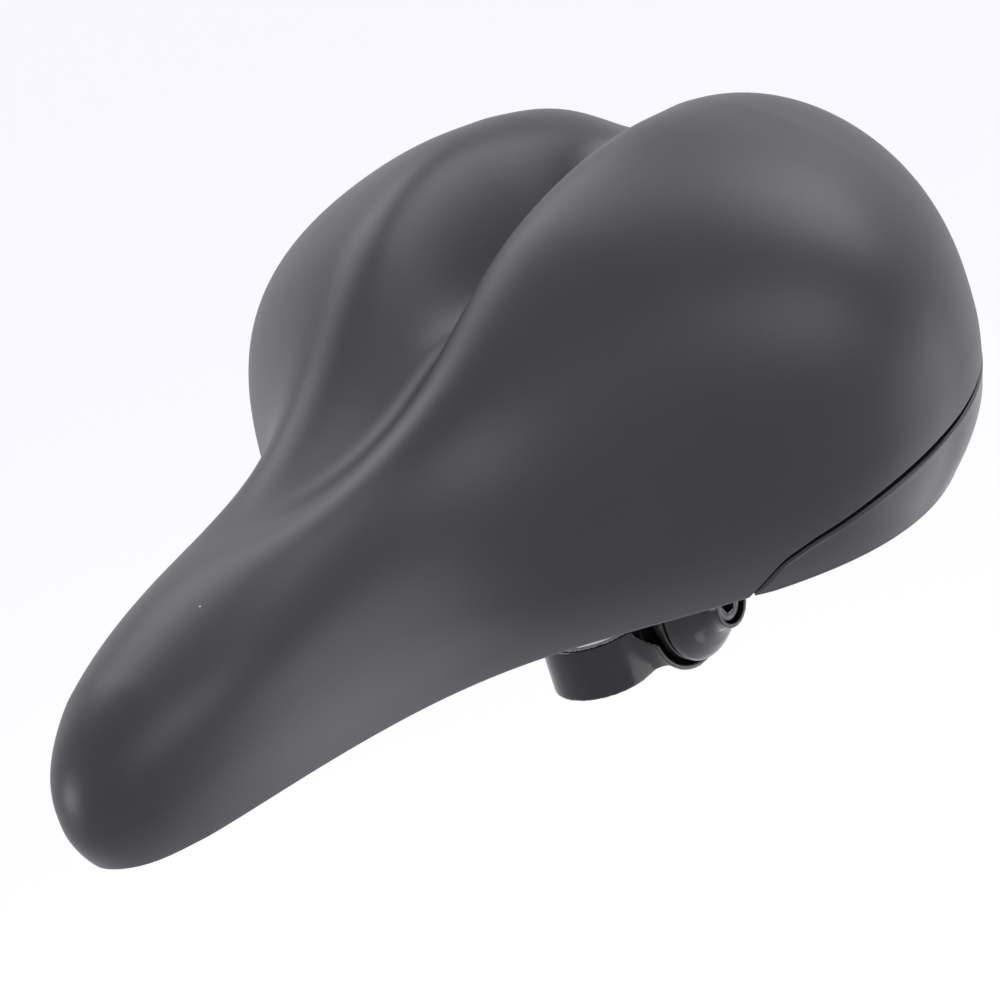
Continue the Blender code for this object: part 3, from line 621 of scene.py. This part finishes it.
def rib_paths():
    """Even paths: across between the shell's borders, and along beside the middle."""
    inner = shell_low[-3]
    for x in RIB_ACROSS:
        nearest = np.argmin(np.abs(inner[:, 0] - x) + 1e3 * (inner[:, 1] < 0))
        half = np.abs(inner[nearest, 1]) - 2.0
        y = np.linspace(-half, half, 61)
        yield np.column_stack([np.full_like(y, x), y]), np.interp(x, *RIB_DEPTH)
    for side in (-1, 1):
        x = np.linspace(*SPAR_ENDS, 121)
        yield np.column_stack([x, np.full_like(x, side * SPAR_SIDE)]), SPAR_DEPTH


rib_verts, rib_faces, rib_count = [], [], 0
for path, depth in rib_paths():
    rows = rib(path, depth)
    rib_verts.append(rows.reshape(-1, 3))
    rib_faces.append(grid_quads(*rows.shape[:2], True, False) + rib_count)
    rib_count += rows.shape[0] * rows.shape[1]
ribs = new_object("shell_ribs", np.concatenate(rib_verts), np.concatenate(rib_faces))
close_ends(ribs)
dress(ribs, SHELL_PLASTIC)
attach(ribs, "saddle")

# ==== Rails ====
# Two bent steel wires, 7 mm thick and coated black, run from the nose socket down to a
# straight stretch for the clamp and up again into the rear sockets.

RAIL_RADIUS = 3.5
RAIL_ROUTE = np.array([
    (140.0, 6.2, 53.6), (132.0, 6.2, 52.9), (124.0, 6.4, 52.1), (110.0, 8.2, 50.2),
    (95.0, 10.8, 47.4), (78.0, 14.0, 43.6), (55.0, 18.6, 38.5), (36.0, 21.2, 33.1),
    (20.0, 22.0, 28.0), (4.0, 22.0, 23.7), (-27.0, 22.0, 23.7), (-56.0, 22.0, 23.7),
    (-65.0, 23.0, 26.0), (-73.0, 25.6, 32.5), (-78.0, 29.0, 42.0), (-80.5, 31.6, 50.0),
    (-81.5, 32.5, 56.0)])
RAIL_STEPS = 150
RAIL_SIDES = 40


def bar(points, radius, sides, end_round=0.5):
    """Round bar carried along points, its ends turned in by a small quarter round."""
    tangent = np.gradient(points, axis=0)
    tangent /= np.linalg.norm(tangent, axis=1, keepdims=True)
    over = np.cross(tangent, [0.0, 1.0, 0.0])
    over /= np.linalg.norm(over, axis=1, keepdims=True)
    across = np.cross(tangent, over)
    turn = 2 * np.pi * np.arange(sides) / sides
    ring = np.cos(turn)[:, None] * over[:, None] + np.sin(turn)[:, None] * across[:, None]
    rows = [points[0] + (radius - end_round) * ring[0], *(points[:, None] + radius * ring),
            points[-1] + (radius - end_round) * ring[-1]]
    rows[0] = rows[0] - 0.4 * end_round * tangent[0]
    rows[-1] = rows[-1] + 0.4 * end_round * tangent[-1]
    return np.array(rows)


def rail_line(side):
    """Cubic Hermite curve through the route by its chord length, at even steps."""
    route = RAIL_ROUTE * [1, side, 1]
    way = np.concatenate([[0], np.cumsum(np.linalg.norm(np.diff(route, axis=0), axis=1))])
    where = np.linspace(0, way[-1], RAIL_STEPS)
    return np.stack([smooth_curve((way, route[:, k]), where) for k in range(3)], axis=1)


RAIL_COAT = make_plastic("rail_coat", (0.012, 0.012, 0.013), 0.28, 0.00002)
for word, side in (("left", 1), ("right", -1)):
    rows = bar(rail_line(side), RAIL_RADIUS, RAIL_SIDES)
    rail = new_object("rail_wire_" + word, rows, grid_quads(*rows.shape[:2]))
    close_ends(rail)
    dress(rail, RAIL_COAT)
    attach(rail, "saddle")
    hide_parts("rail_" + word)

# ==== Rail sockets ====
# Blocks of black glass-filled nylon hold the rails' ends and are screwed up into the
# shell. They are moulded, so every edge and corner is softly rounded.


def evaluated_mesh(obj, name):
    """Mesh of an object with its modifiers applied."""
    graph = bpy.context.evaluated_depsgraph_get()
    mesh = bpy.data.meshes.new_from_object(obj.evaluated_get(graph))
    mesh.name = name
    return mesh


def softened(obj, name, voxel, rounds):
    """Piece remeshed in even voxels and smoothed, which rounds edges and fills corners."""
    remesh = obj.modifiers.new("even", "REMESH")
    remesh.mode = "VOXEL"
    remesh.voxel_size = voxel * MM
    smooth = obj.modifiers.new("soft", "SMOOTH")
    smooth.factor = 0.5
    smooth.iterations = rounds
    mesh = evaluated_mesh(obj, name)
    mesh.shade_smooth()
    piece = bpy.data.objects.new(name, mesh)
    bpy.context.scene.collection.objects.link(piece)
    bpy.data.objects.remove(obj)
    return piece


def merged_copy(node):
    """Loose copy of a frame node's mesh with its doubled vertices joined."""
    copy = bpy.data.objects.new(node + "_copy", frame["nodes"][node].data.copy())
    bpy.context.scene.collection.objects.link(copy)
    bm = bmesh.new()
    bm.from_mesh(copy.data)
    bmesh.ops.remove_doubles(bm, verts=bm.verts, dist=1e-6)
    bm.to_mesh(copy.data)
    bm.free()
    return copy


SOCKET_VOXEL = 0.4
SOCKET_ROUNDS = 6
SOCKET_PLASTIC = make_plastic("socket_nylon", (0.018, 0.018, 0.019), 0.45, 0.00006)
for node in ("rail_socket_left", "rail_socket_right", "nose_socket"):
    socket = softened(merged_copy(node), node + "_moulded", SOCKET_VOXEL, SOCKET_ROUNDS)
    dress(socket, SOCKET_PLASTIC)
    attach(socket, "saddle")
    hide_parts(node)

# ==== Screws ====
# Zinc-plated pan-head screws with a cross recess hold the bumper and the sockets up
# against the shell; their heads point down.

SCREW_RADIUS = 1.5
SCREW_HEAD = 3.2
SCREW_HEAD_HEIGHT = 1.9
RECESS_DEPTH = 1.1
RECESS_HALF = 0.42
RECESS_REACH = 1.75
SCREW_STEPS = 48


def turned_rows(profile, steps, axis, centre):
    """Surface of revolution: each (radius, way) of the profile goes round the axis."""
    profile = np.asarray(profile, float)
    turn = 2 * np.pi * np.arange(steps) / steps
    round_a = profile[:, :1] * np.cos(turn)
    round_b = profile[:, :1] * np.sin(turn)
    way = np.broadcast_to(profile[:, 1:], round_a.shape)
    order = (way, round_a, round_b) if axis == "X" else (
        (round_a, way, round_b) if axis == "Y" else (round_a, round_b, way))
    return np.stack(order, axis=-1) + centre


def rounded(profile, reach=0.35, steps=4):
    """Profile whose inner corners become short quadratic curves of the given reach."""
    points = np.asarray(profile, float)
    out = [points[:1]]
    for before, corner, after in zip(points[:-2], points[1:-1], points[2:]):
        back, ahead = before - corner, after - corner
        back_way, ahead_way = np.linalg.norm(back), np.linalg.norm(ahead)
        cut = min(reach, 0.45 * back_way, 0.45 * ahead_way)
        start = corner + back / back_way * cut
        end = corner + ahead / ahead_way * cut
        t = np.linspace(0, 1, steps + 1)[:, None]
        out.append((1 - t)**2 * start + 2 * t * (1 - t) * corner + t**2 * end)
    out.append(points[-1:])
    return np.concatenate(out)


def turned_object(name, profile, steps, axis, centre, ring=False, crease=40):
    """Closed turned piece: a ring's profile joins up, another starts and ends on the axis."""
    rows = turned_rows(profile, steps, axis, np.asarray(centre, float))
    return new_object(name, rows, grid_quads(*rows.shape[:2], ring), weld=True, crease=crease)


def block_object(name, low, high):
    """Plain block between two corners, used to join or cut pieces."""
    x, y, z = np.meshgrid((0, 1), (0, 1), (0, 1), indexing="ij")
    share = np.stack([x, y, z], axis=-1).reshape(-1, 3)
    corners = np.asarray(low) + (np.asarray(high) - np.asarray(low)) * share
    quads = [(0, 1, 3, 2), (4, 6, 7, 5), (0, 4, 5, 1), (2, 3, 7, 6), (0, 2, 6, 4), (1, 5, 7, 3)]
    return new_object(name, corners, quads, crease=30)


def combine(obj, tool, operation):
    """Join a tool to a piece or cut it out, and remove the tool."""
    step = obj.modifiers.new(operation, "BOOLEAN")
    step.operation = operation
    step.object = tool
    step.solver = "EXACT"
    mesh = evaluated_mesh(obj, obj.name)
    obj.modifiers.clear()
    obj.data = mesh
    bpy.data.objects.remove(tool)


def make_metal(name, colour, roughness, mark_scale, mark_depth):
    """Plated metal: fine marks in bump and a slow change of gloss and tone."""
    mat, tree, shader = new_material(name, colour, roughness, metallic=1.0)
    grain = place_group(tree, GRAIN, Cell_Scale=mark_scale, Blotch_Scale=160.0)
    dark = tuple(0.72 * c for c in colour)
    tone = ramp(tree, grain.outputs["Blotch"], [(0.3, dark), (0.65, colour)])
    gloss = ramp(tree, grain.outputs["Blotch"],
                 [(0.3, roughness + 0.08), (0.7, roughness - 0.05)])
    tree.links.new(tone.outputs["Color"], shader.inputs["Base Color"])
    tree.links.new(gloss.outputs["Color"], shader.inputs["Roughness"])
    bump(tree, grain.outputs["Height"], shader, 0.3, mark_depth)
    return mat


ZINC = make_metal("zinc_plate", (0.42, 0.42, 0.43), 0.34, 3000.0, 0.00001)
SCREW_NODES = [row["node"] for row in frame["record"]["subparts"] if "_screw" in row["node"]]
for node in SCREW_NODES:
    low, high = (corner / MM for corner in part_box(node))
    centre = ((low.x + high.x) / 2, (low.y + high.y) / 2, low.z)
    length = high.z - low.z
    profile = [(0.0, 0.0), (1.2, 0.0), (2.3, 0.25), (3.0, 0.9), (SCREW_HEAD, SCREW_HEAD_HEIGHT),
               (SCREW_RADIUS, SCREW_HEAD_HEIGHT), (SCREW_RADIUS, length - 1.2), (0.4, length),
               (0.0, length)]
    screw = turned_object(node + "_plated", rounded(profile, 0.3), SCREW_STEPS, "Z", centre)
    for reach_x, reach_y in ((RECESS_REACH, RECESS_HALF), (RECESS_HALF, RECESS_REACH)):
        arm = (reach_x, reach_y, 0)
        low_corner = np.array(centre) - arm - [0, 0, 1.0]
        high_corner = np.array(centre) + arm + [0, 0, RECESS_DEPTH]
        combine(screw, block_object("cross", low_corner, high_corner), "DIFFERENCE")
    dress(screw, ZINC)
    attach(screw, "saddle")
    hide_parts(node)

# ==== Post band ====
# The clamp's body is pressed from steel sheet and painted gloss black: a collar round
# the seat post, slit behind, that flares on each side into a round toothed cup. The
# bore and the collar's sheared upper edge are coloured pale: a painted highlight that
# stands in for the bright surround reflected there.

BOLT_AXIS = np.array([-18.0, 0.0, 11.7])
POST_RADIUS = 11.1
BAND_RADIUS = 13.5
BAND_HEIGHT = 14.2
BAND_SLIT = 4.0
BOLT_HOLE = 3.4
TEETH = 18
TOOTH_HEIGHT = 0.5
TURN_STEPS = 144


def toothed(rows, first, last, side):
    """Rows of a turned face between two of them raised and sunk in TEETH cosine waves."""
    turn = np.cos(TEETH * 2 * np.pi * np.arange(rows.shape[1]) / rows.shape[1])
    rows[first:last + 1, :, 1] += side * TOOTH_HEIGHT * turn
    return rows


def cup_object(side):
    """Flared cup: its outer skin goes out to the rim and its inner skin comes back."""
    profile = [(BOLT_HOLE, 11.3), (12.2, 11.3), (14.6, 11.9), (16.0, 13.2), (16.8, 15.2),
               (17.5, 18.0), (16.1, 18.0), (15.4, 15.8), (14.6, 14.4), (13.2, 13.6),
               (12.2, 13.6), (12.0, 13.6), (6.2, 13.6), (6.0, 13.6), (BOLT_HOLE, 13.6)]
    rows = turned_rows([(r, side * y) for r, y in profile], TURN_STEPS, "Y", BOLT_AXIS)
    rows = toothed(rows, 11, 12, side)
    return new_object("cup", rows, grid_quads(*rows.shape[:2], True))


FLARE_LEAD = 7.0
FLARE_WALL = 1.6
FLARE_PULL = 3.2
FLARE_ARRIVE = 13.9
FLARE_ROWS = 26
FLARE_STEPS = 25
RIM_RADIUS = 17.5
RIM_SIDE = 18.0


def flare_object(side):
    """Sheet between collar and cup: at each height a Bezier curve leaves the collar's
    circle along its tangent and ends on the cup's rim, and a second one lies inside."""
    z = np.linspace(0.5, BAND_HEIGHT - 0.3, FLARE_ROWS)[:, None]
    rim_x = BOLT_AXIS[0] + np.sqrt(RIM_RADIUS**2 - (z - BOLT_AXIS[2])**2) - 0.2
    start_x = rim_x + FLARE_LEAD
    start_y = np.sqrt(BAND_RADIUS**2 - start_x**2)
    t = np.linspace(0, 1, FLARE_STEPS)[None, :]
    rows = []
    for inset in (0.0, FLARE_WALL):
        x0 = start_x - inset * start_x / BAND_RADIUS
        y0 = start_y - inset * start_y / BAND_RADIUS
        xs = (x0, x0 - FLARE_PULL * start_y / BAND_RADIUS, rim_x - inset, rim_x - inset)
        ys = (y0, y0 + FLARE_PULL * start_x / BAND_RADIUS, FLARE_ARRIVE - 0.4 * inset, RIM_SIDE)
        weights = ((1 - t)**3, 3 * t * (1 - t)**2, 3 * t**2 * (1 - t), t**3)
        x = sum(w * v for w, v in zip(weights, xs))
        y = sum(w * v for w, v in zip(weights, ys))
        rows.append(np.stack([x, side * y, z + 0 * x], axis=-1))
    loop = np.concatenate([rows[0], rows[1][:, ::-1]], axis=1)
    sheet = new_object("flare", loop, grid_quads(*loop.shape[:2]))
    close_ends(sheet)
    return sheet


def mouth_object(side):
    """Cutter with a sloping floor that opens the cup's front rim towards the collar."""
    path = np.array([(7.0, 15.5), (3.4, 14.8), (1.9, 13.6), (0.4, 11.2), (-1.6, 8.3),
                     (-7.0, 8.3), (-7.0, 32.0), (7.0, 32.0)])
    rows = [np.column_stack([path[:, 0], np.full(len(path), side * y), path[:, 1]])
            for y in (13.65, 19.0)]
    cutter = new_object("mouth", np.array(rows), grid_quads(2, len(path)))
    close_ends(cutter)
    return cutter


BAND_VOXEL = 0.34
BAND_ROUNDS = 7
BORE_SPARE = 0.5
wall = [(POST_RADIUS - BORE_SPARE, 0.0), (BAND_RADIUS, 0.0), (BAND_RADIUS, BAND_HEIGHT),
        (POST_RADIUS - BORE_SPARE, BAND_HEIGHT)]
band = turned_object("band", wall, TURN_STEPS, "Z", (0, 0, 0), ring=True)
for side in (1, -1):
    combine(band, cup_object(side), "UNION")
    combine(band, flare_object(side), "UNION")
    combine(band, mouth_object(side), "DIFFERENCE")
bore = turned_object("bore", [(0, -9), (POST_RADIUS, -9), (POST_RADIUS, 30), (0, 30)],
                     TURN_STEPS, "Z", (0, 0, 0))
combine(band, bore, "DIFFERENCE")
slit = block_object("slit", (-16.0, -BAND_SLIT / 2, -2.0), (-9.0, BAND_SLIT / 2, 20.0))
combine(band, slit, "DIFFERENCE")
hole = turned_object("hole", [(0, -25), (BOLT_HOLE, -25), (BOLT_HOLE, 25), (0, 25)],
                     TURN_STEPS, "Y", BOLT_AXIS)
combine(band, hole, "DIFFERENCE")
band = softened(band, "band_pressed", BAND_VOXEL, BAND_ROUNDS)


def make_paint(name, colour, roughness, peel):
    """Stoved gloss paint over steel: a faint orange peel and slow changes of gloss."""
    mat, tree, shader = new_material(name, colour, roughness, Specular_IOR_Level=0.38)
    place = add_node(tree, "ShaderNodeTexCoord")
    swell = add_node(tree, "ShaderNodeTexNoise", Scale=380.0, Detail=2.0)
    blotch = add_node(tree, "ShaderNodeTexNoise", Scale=60.0, Detail=3.0)
    for node in (swell, blotch):
        tree.links.new(place.outputs["Object"], node.inputs["Vector"])
    paler = tuple(1.6 * c for c in colour)
    tone = ramp(tree, blotch.outputs["Fac"], [(0.3, colour), (0.7, paler)])
    gloss = ramp(tree, blotch.outputs["Fac"],
                 [(0.3, roughness - 0.03), (0.7, roughness + 0.05)])
    tree.links.new(tone.outputs["Color"], shader.inputs["Base Color"])
    tree.links.new(gloss.outputs["Color"], shader.inputs["Roughness"])
    bump(tree, swell.outputs["Fac"], shader, 0.25, peel)
    return mat


BORE_ROUND = 0.25
EDGE_ROUND = 0.35
# Pale colour for the bore and the collar's top edge: a painted highlight.
PALE_HIGHLIGHT_COAT = make_plastic("painted_highlight_pale", (0.66, 0.66, 0.675), 0.35, 0.00002)
GLOSS_PAINT = make_paint("gloss_black_paint", (0.005, 0.005, 0.006), 0.14, 0.00012)
dress(band, GLOSS_PAINT, PALE_HIGHLIGHT_COAT)
centres = np.empty(len(band.data.polygons) * 3)
band.data.polygons.foreach_get("center", centres)
centres = centres.reshape(-1, 3) / MM
from_axis = np.hypot(centres[:, 0], centres[:, 1])
# Faces of the bore and of the top edge, which get the painted highlight.
on_top = (from_axis < BAND_RADIUS - EDGE_ROUND) & (centres[:, 2] > BAND_HEIGHT - EDGE_ROUND)
highlight_faces = (from_axis < POST_RADIUS + BORE_ROUND) | on_top
band.data.polygons.foreach_set("material_index", highlight_faces.astype(np.int32))
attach(band, "post_band")
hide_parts("post_band")

# ==== Ratchet plates ====
# An inner plate sits in each cup, its teeth between the cup's, and its block carries
# the inner half of the rail's channel. It is cast steel, painted black.

PLATE_FRONT = -6.0
PLATE_REAR = -30.0
PLATE_TOP = 28.4
PLATE_STEP = 16.9
RAIL_HALF_SPACING = 22.0
RAIL_HEIGHT = 23.7
CHANNEL_RADIUS = RAIL_RADIUS + 0.12
CHANNEL_REACH = 40
CHANNEL_STEPS = 64
CAST_VOXEL = 0.3
CAST_ROUNDS = 5


def channel_object(side):
    """Cutter for the rail's channel, along X."""
    profile = [(0, -CHANNEL_REACH), (CHANNEL_RADIUS, -CHANNEL_REACH),
               (CHANNEL_RADIUS, CHANNEL_REACH), (0, CHANNEL_REACH)]
    centre = (BOLT_AXIS[0], side * RAIL_HALF_SPACING, RAIL_HEIGHT)
    return turned_object("channel", profile, CHANNEL_STEPS, "X", centre)


def side_block(side, low, high):
    """Block on one side of the clamp, with its corners given for the left side."""
    low_y, high_y = sorted((side * low[1], side * high[1]))
    return block_object("block", (low[0], low_y, low[2]), (high[0], high_y, high[2]))


PLATE_PAINT = make_paint("plate_paint", (0.008, 0.008, 0.0085), 0.22, 0.0001)
for word, side in (("left", 1), ("right", -1)):
    profile = [(BOLT_HOLE, 14.9), (5.8, 14.9), (6.0, 14.9), (12.0, 14.9), (12.2, 14.9),
               (14.0, 16.1), (14.7, 17.8), (14.7, 19.7), (BOLT_HOLE, 19.7)]
    rows = turned_rows([(r, side * y) for r, y in profile], TURN_STEPS, "Y", BOLT_AXIS)
    rows = toothed(rows, 2, 3, side)
    plate = new_object("plate", rows, grid_quads(*rows.shape[:2], True))
    block = side_block(side, (PLATE_REAR, 18.4, PLATE_STEP), (PLATE_FRONT, 21.8, PLATE_TOP))
    combine(plate, block, "UNION")
    combine(plate, channel_object(side), "DIFFERENCE")
    plate = softened(plate, "ratchet_plate_cast_" + word, CAST_VOXEL, CAST_ROUNDS)
    dress(plate, PLATE_PAINT)
    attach(plate, "cradle")
    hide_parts("ratchet_plate_" + word)

# ==== Outer clamp plates ====
# A domed cap closes each side. It rises in a soft curve to a round boss that sinks the
# bolt's head or the nut, and its block is the outer half of the rail's channel.

COUNTERBORE = 5.35
NUT_POCKET_FLATS = 10.5
LEFT_BOSS = 6.6
RIGHT_BOSS = 7.6


def hex_object(flats, low, high):
    """Hexagonal bar along the bolt's axis, by its width across flats."""
    corner = flats / 2 * (1 / math.cos(math.pi / 6))
    profile = [(0, low), (corner, low), (corner, high), (0, high)]
    return turned_object("hexagon", profile, 6, "Y", BOLT_AXIS, crease=30)


for word, side, boss in (("left", 1, LEFT_BOSS), ("right", -1, RIGHT_BOSS)):
    profile = [(BOLT_HOLE, 20.0), (14.4, 20.0), (15.0, 20.7), (14.6, 22.0), (13.4, 23.4),
               (11.4, 24.9), (9.4, 26.0), (boss + 0.9, 27.2), (boss + 0.1, 28.6), (boss, 29.6),
               (boss, 31.3), (COUNTERBORE, 31.3), (COUNTERBORE, 24.2), (BOLT_HOLE, 24.2)]
    profile = [(r, side * y) for r, y in profile]
    cap = turned_object("cap", profile, TURN_STEPS, "Y", BOLT_AXIS, True)
    step = side_block(side, (-40.0, 17.0, PLATE_STEP - 0.3), (4.0, 22.1, 40.0))
    combine(cap, step, "DIFFERENCE")
    block = side_block(side, (PLATE_REAR, 22.15, PLATE_STEP), (PLATE_FRONT, 26.6, PLATE_TOP))
    combine(cap, block, "UNION")
    combine(cap, channel_object(side), "DIFFERENCE")
    if side < 0:
        combine(cap, hex_object(NUT_POCKET_FLATS, -35.0, -24.2), "DIFFERENCE")
    cap = softened(cap, "clamp_cap_cast_" + word, CAST_VOXEL, CAST_ROUNDS)
    dress(cap, GLOSS_PAINT)
    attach(cap, "cradle")
    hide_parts("clamp_plate_" + word)

# ==== Bolt, nut and washers ====
# One zinc-plated M6 bolt draws the clamp together: a low round head with a hexagon
# socket on the left, a nut held from turning in its pocket on the right, and washers.

BOLT_RADIUS = 3.0
PITCH = 1.0
THREAD_DEPTH = 0.55
THREAD_LOW = -31.4
THREAD_HIGH = -12.0
KEY_FLATS = 5.0
NUT_FLATS = 10.0
NUT_CHAMFER = 1.0
NUT_STEPS = 144
THREAD_ROWS = 330
SHANK_STEPS = 48


def thread_rows():
    """Thread: the radius waves with the way along the axis less the turn's share of a
    pitch, and the crest tapers at both ends."""
    way = np.linspace(THREAD_LOW, THREAD_HIGH, THREAD_ROWS)[:, None]
    turn = 2 * np.pi * np.arange(SHANK_STEPS) / SHANK_STEPS
    wave = np.abs(((way / PITCH - turn / (2 * np.pi)) % 1.0) - 0.5) * 2
    fade = np.clip((way - THREAD_LOW) / PITCH, 0, 1) * np.clip((THREAD_HIGH - way) / PITCH, 0, 1)
    lead = 0.5 * (1 - np.clip((way - THREAD_LOW) / PITCH, 0, 1))
    radius = BOLT_RADIUS - THREAD_DEPTH * (1 - wave) * fade - lead
    rows = np.stack([radius * np.cos(turn), way + 0 * turn, radius * np.sin(turn)], axis=-1)
    return rows + BOLT_AXIS


def ring_row(radius, way, steps=SHANK_STEPS):
    """One ring of points round the bolt's axis."""
    return turned_rows([(radius, way)], steps, "Y", BOLT_AXIS)


shank_rows = np.concatenate([
    ring_row(0.0, THREAD_LOW), thread_rows(), ring_row(BOLT_RADIUS, THREAD_HIGH + 0.1),
    ring_row(BOLT_RADIUS, 26.6), ring_row(0.0, 26.6)])
shank = new_object("shank", shank_rows, grid_quads(*shank_rows.shape[:2]), weld=True, crease=45)
head_profile = rounded([(0.0, 26.0), (4.95, 26.0), (4.95, 29.9), (4.5, 30.3), (3.3, 30.3),
                        (3.0, 30.1), (0.0, 30.1)], 0.3)
bolt = turned_object("bolt_plated", head_profile, 96, "Y", BOLT_AXIS)
combine(bolt, hex_object(KEY_FLATS, 27.3, 32.0), "DIFFERENCE")
combine(bolt, shank, "UNION")
bolt.data.set_sharp_from_angle(angle=math.radians(38))
BOLT_ZINC = make_metal("bolt_zinc", (0.1, 0.1, 0.105), 0.42, 2600.0, 0.00003)
dress(bolt, BOLT_ZINC)
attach(bolt, "clamp_bolt")
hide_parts("clamp_bolt")


def nut_rows(low, high):
    """Hexagon whose corners are cut back by a cone at both faces, round a plain bore."""
    turn = 2 * np.pi * np.arange(NUT_STEPS) / NUT_STEPS
    flats = NUT_FLATS / 2 / np.cos((turn % (np.pi / 3)) - np.pi / 6)
    way = np.concatenate([[low], low + NUT_CHAMFER * np.linspace(0, 1, 7)[1:],
                          high - NUT_CHAMFER * np.linspace(1, 0, 7)[:-1], [high]])
    depth = np.minimum(way - low, high - way)[:, None]
    radius = np.minimum(flats, NUT_FLATS / 2 * 0.97 + 1.8 * depth)
    outer = np.stack([radius * np.cos(turn), way[:, None] + 0 * turn, radius * np.sin(turn)],
                     axis=-1)
    bore_radius = BOLT_RADIUS + 0.15
    bore = [ring_row(radius, way, NUT_STEPS) for radius, way in (
        (bore_radius + 0.5, high), (bore_radius, high - 0.5), (bore_radius, low + 0.5),
        (bore_radius + 0.5, low))]
    return np.concatenate([outer + BOLT_AXIS, *bore])


rows = nut_rows(-31.0, -26.0)
nut = new_object("nut_plated", rows, grid_quads(*rows.shape[:2], True), crease=35)
dress(nut, ZINC)
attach(nut, "cradle")
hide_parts("clamp_nut")
for word, side in (("left", 1), ("right", -1)):
    inner = BOLT_RADIUS + 0.3
    profile = [(inner, 24.9), (inner, 24.5), (5.0, 24.5), (5.0, 25.7), (inner, 25.7), (inner, 24.9)]
    profile = rounded([(r, side * y) for r, y in profile], 0.2)[:-1]
    washer = turned_object("washer_plated_" + word, profile, 96, "Y", BOLT_AXIS, ring=True)
    dress(washer, ZINC)
    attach(washer, "cradle")
    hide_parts("washer_" + word)

# ==== Floor, light and camera ====
# The saddle is shown in a pale studio: a long lens ahead of its left side, a plain floor
# far below it, an even pale surround and five soft boxes.

CAMERA_AZIMUTH = 42.2
CAMERA_ELEVATION = 21.3
CAMERA_ROLL = -18.1
CAMERA_DISTANCE = 889.5
CAMERA_SHIFT = (4.8, -30.8)
FOCAL_SHARE = 3.6274
FIT_ORIGIN = Vector((25.0, 0.0, 28.2))
SENSOR_WIDTH = 36.0
BOX_DISTANCE = 1.6
BOX_AIM = Vector((0.03, 0.0, 0.06))
FLOOR_REACH = 60.0
FLOOR_LEVEL = -1.4
SURROUND = (0.985, 0.97, 1.03, 1.0)


def place_camera():
    """Camera on a long lens, ahead of the saddle's left side and rolled with its slope."""
    az, el, roll = (math.radians(v) for v in (CAMERA_AZIMUTH, CAMERA_ELEVATION, CAMERA_ROLL))
    back = Vector((math.cos(az) * math.cos(el), math.sin(az) * math.cos(el), math.sin(el)))
    right = Vector((0, 0, 1)).cross(back).normalized()
    up = back.cross(right)
    across = right * math.cos(roll) + up * math.sin(roll)
    over = -right * math.sin(roll) + up * math.cos(roll)
    shift = across * CAMERA_SHIFT[0] + over * CAMERA_SHIFT[1]
    where = (back * CAMERA_DISTANCE - shift + FIT_ORIGIN) * MM
    data = bpy.data.cameras.new("camera")
    data.sensor_width = SENSOR_WIDTH
    data.lens = SENSOR_WIDTH * FOCAL_SHARE
    data.clip_start = 0.05
    data.clip_end = 50.0
    camera = bpy.data.objects.new("camera", data)
    turn = Matrix((across, over, back)).transposed().to_4x4()
    camera.matrix_world = Matrix.Translation(where) @ turn
    bpy.context.scene.collection.objects.link(camera)
    bpy.context.scene.camera = camera


def soft_box(name, azimuth, elevation, size, power):
    """Square soft box on a sphere round the saddle, facing its middle."""
    az, el = math.radians(azimuth), math.radians(elevation)
    out = Vector((math.cos(az) * math.cos(el), math.sin(az) * math.cos(el), math.sin(el)))
    data = bpy.data.lights.new(name, "AREA")
    data.shape = "SQUARE"
    data.size = size
    data.energy = power
    light = bpy.data.objects.new(name, data)
    light.location = BOX_AIM + out * BOX_DISTANCE
    light.rotation_euler = out.to_track_quat("Z", "Y").to_euler()
    bpy.context.scene.collection.objects.link(light)


def make_floor():
    """Matt white floor, far enough below to be seen past on every side."""
    mesh = bpy.data.meshes.new("floor")
    reach, level = FLOOR_REACH, FLOOR_LEVEL
    mesh.from_pydata([(-reach, -reach, level), (reach, -reach, level), (reach, reach, level),
                      (-reach, reach, level)], [], [(0, 1, 2, 3)])
    floor = bpy.data.objects.new("floor", mesh)
    bpy.context.scene.collection.objects.link(floor)
    mat, _, shader = new_material("floor_white", (0.96, 0.96, 0.96), 0.9)
    floor.data.materials.append(mat)


def light_world(strength):
    """Even surround, a little cooler than white."""
    world = bpy.data.worlds.new("studio")
    world.use_nodes = True
    shade = world.node_tree.nodes["Background"]
    shade.inputs["Color"].default_value = SURROUND
    shade.inputs["Strength"].default_value = strength
    bpy.context.scene.world = world


place_camera()
make_floor()
light_world(1.0)
soft_box("right_box", 128.0, -30.0, 1.5, 11.0)
soft_box("left_box", 328.0, 8.0, 0.9, 12.0)
soft_box("overhead_box", 236.0, 56.0, 1.1, 10.0)
soft_box("upper_box", 160.0, 41.0, 0.9, 8.3)
soft_box("front_box", 80.0, 30.0, 0.9, 6.5)
bpy.context.scene.view_settings.view_transform = "Standard"
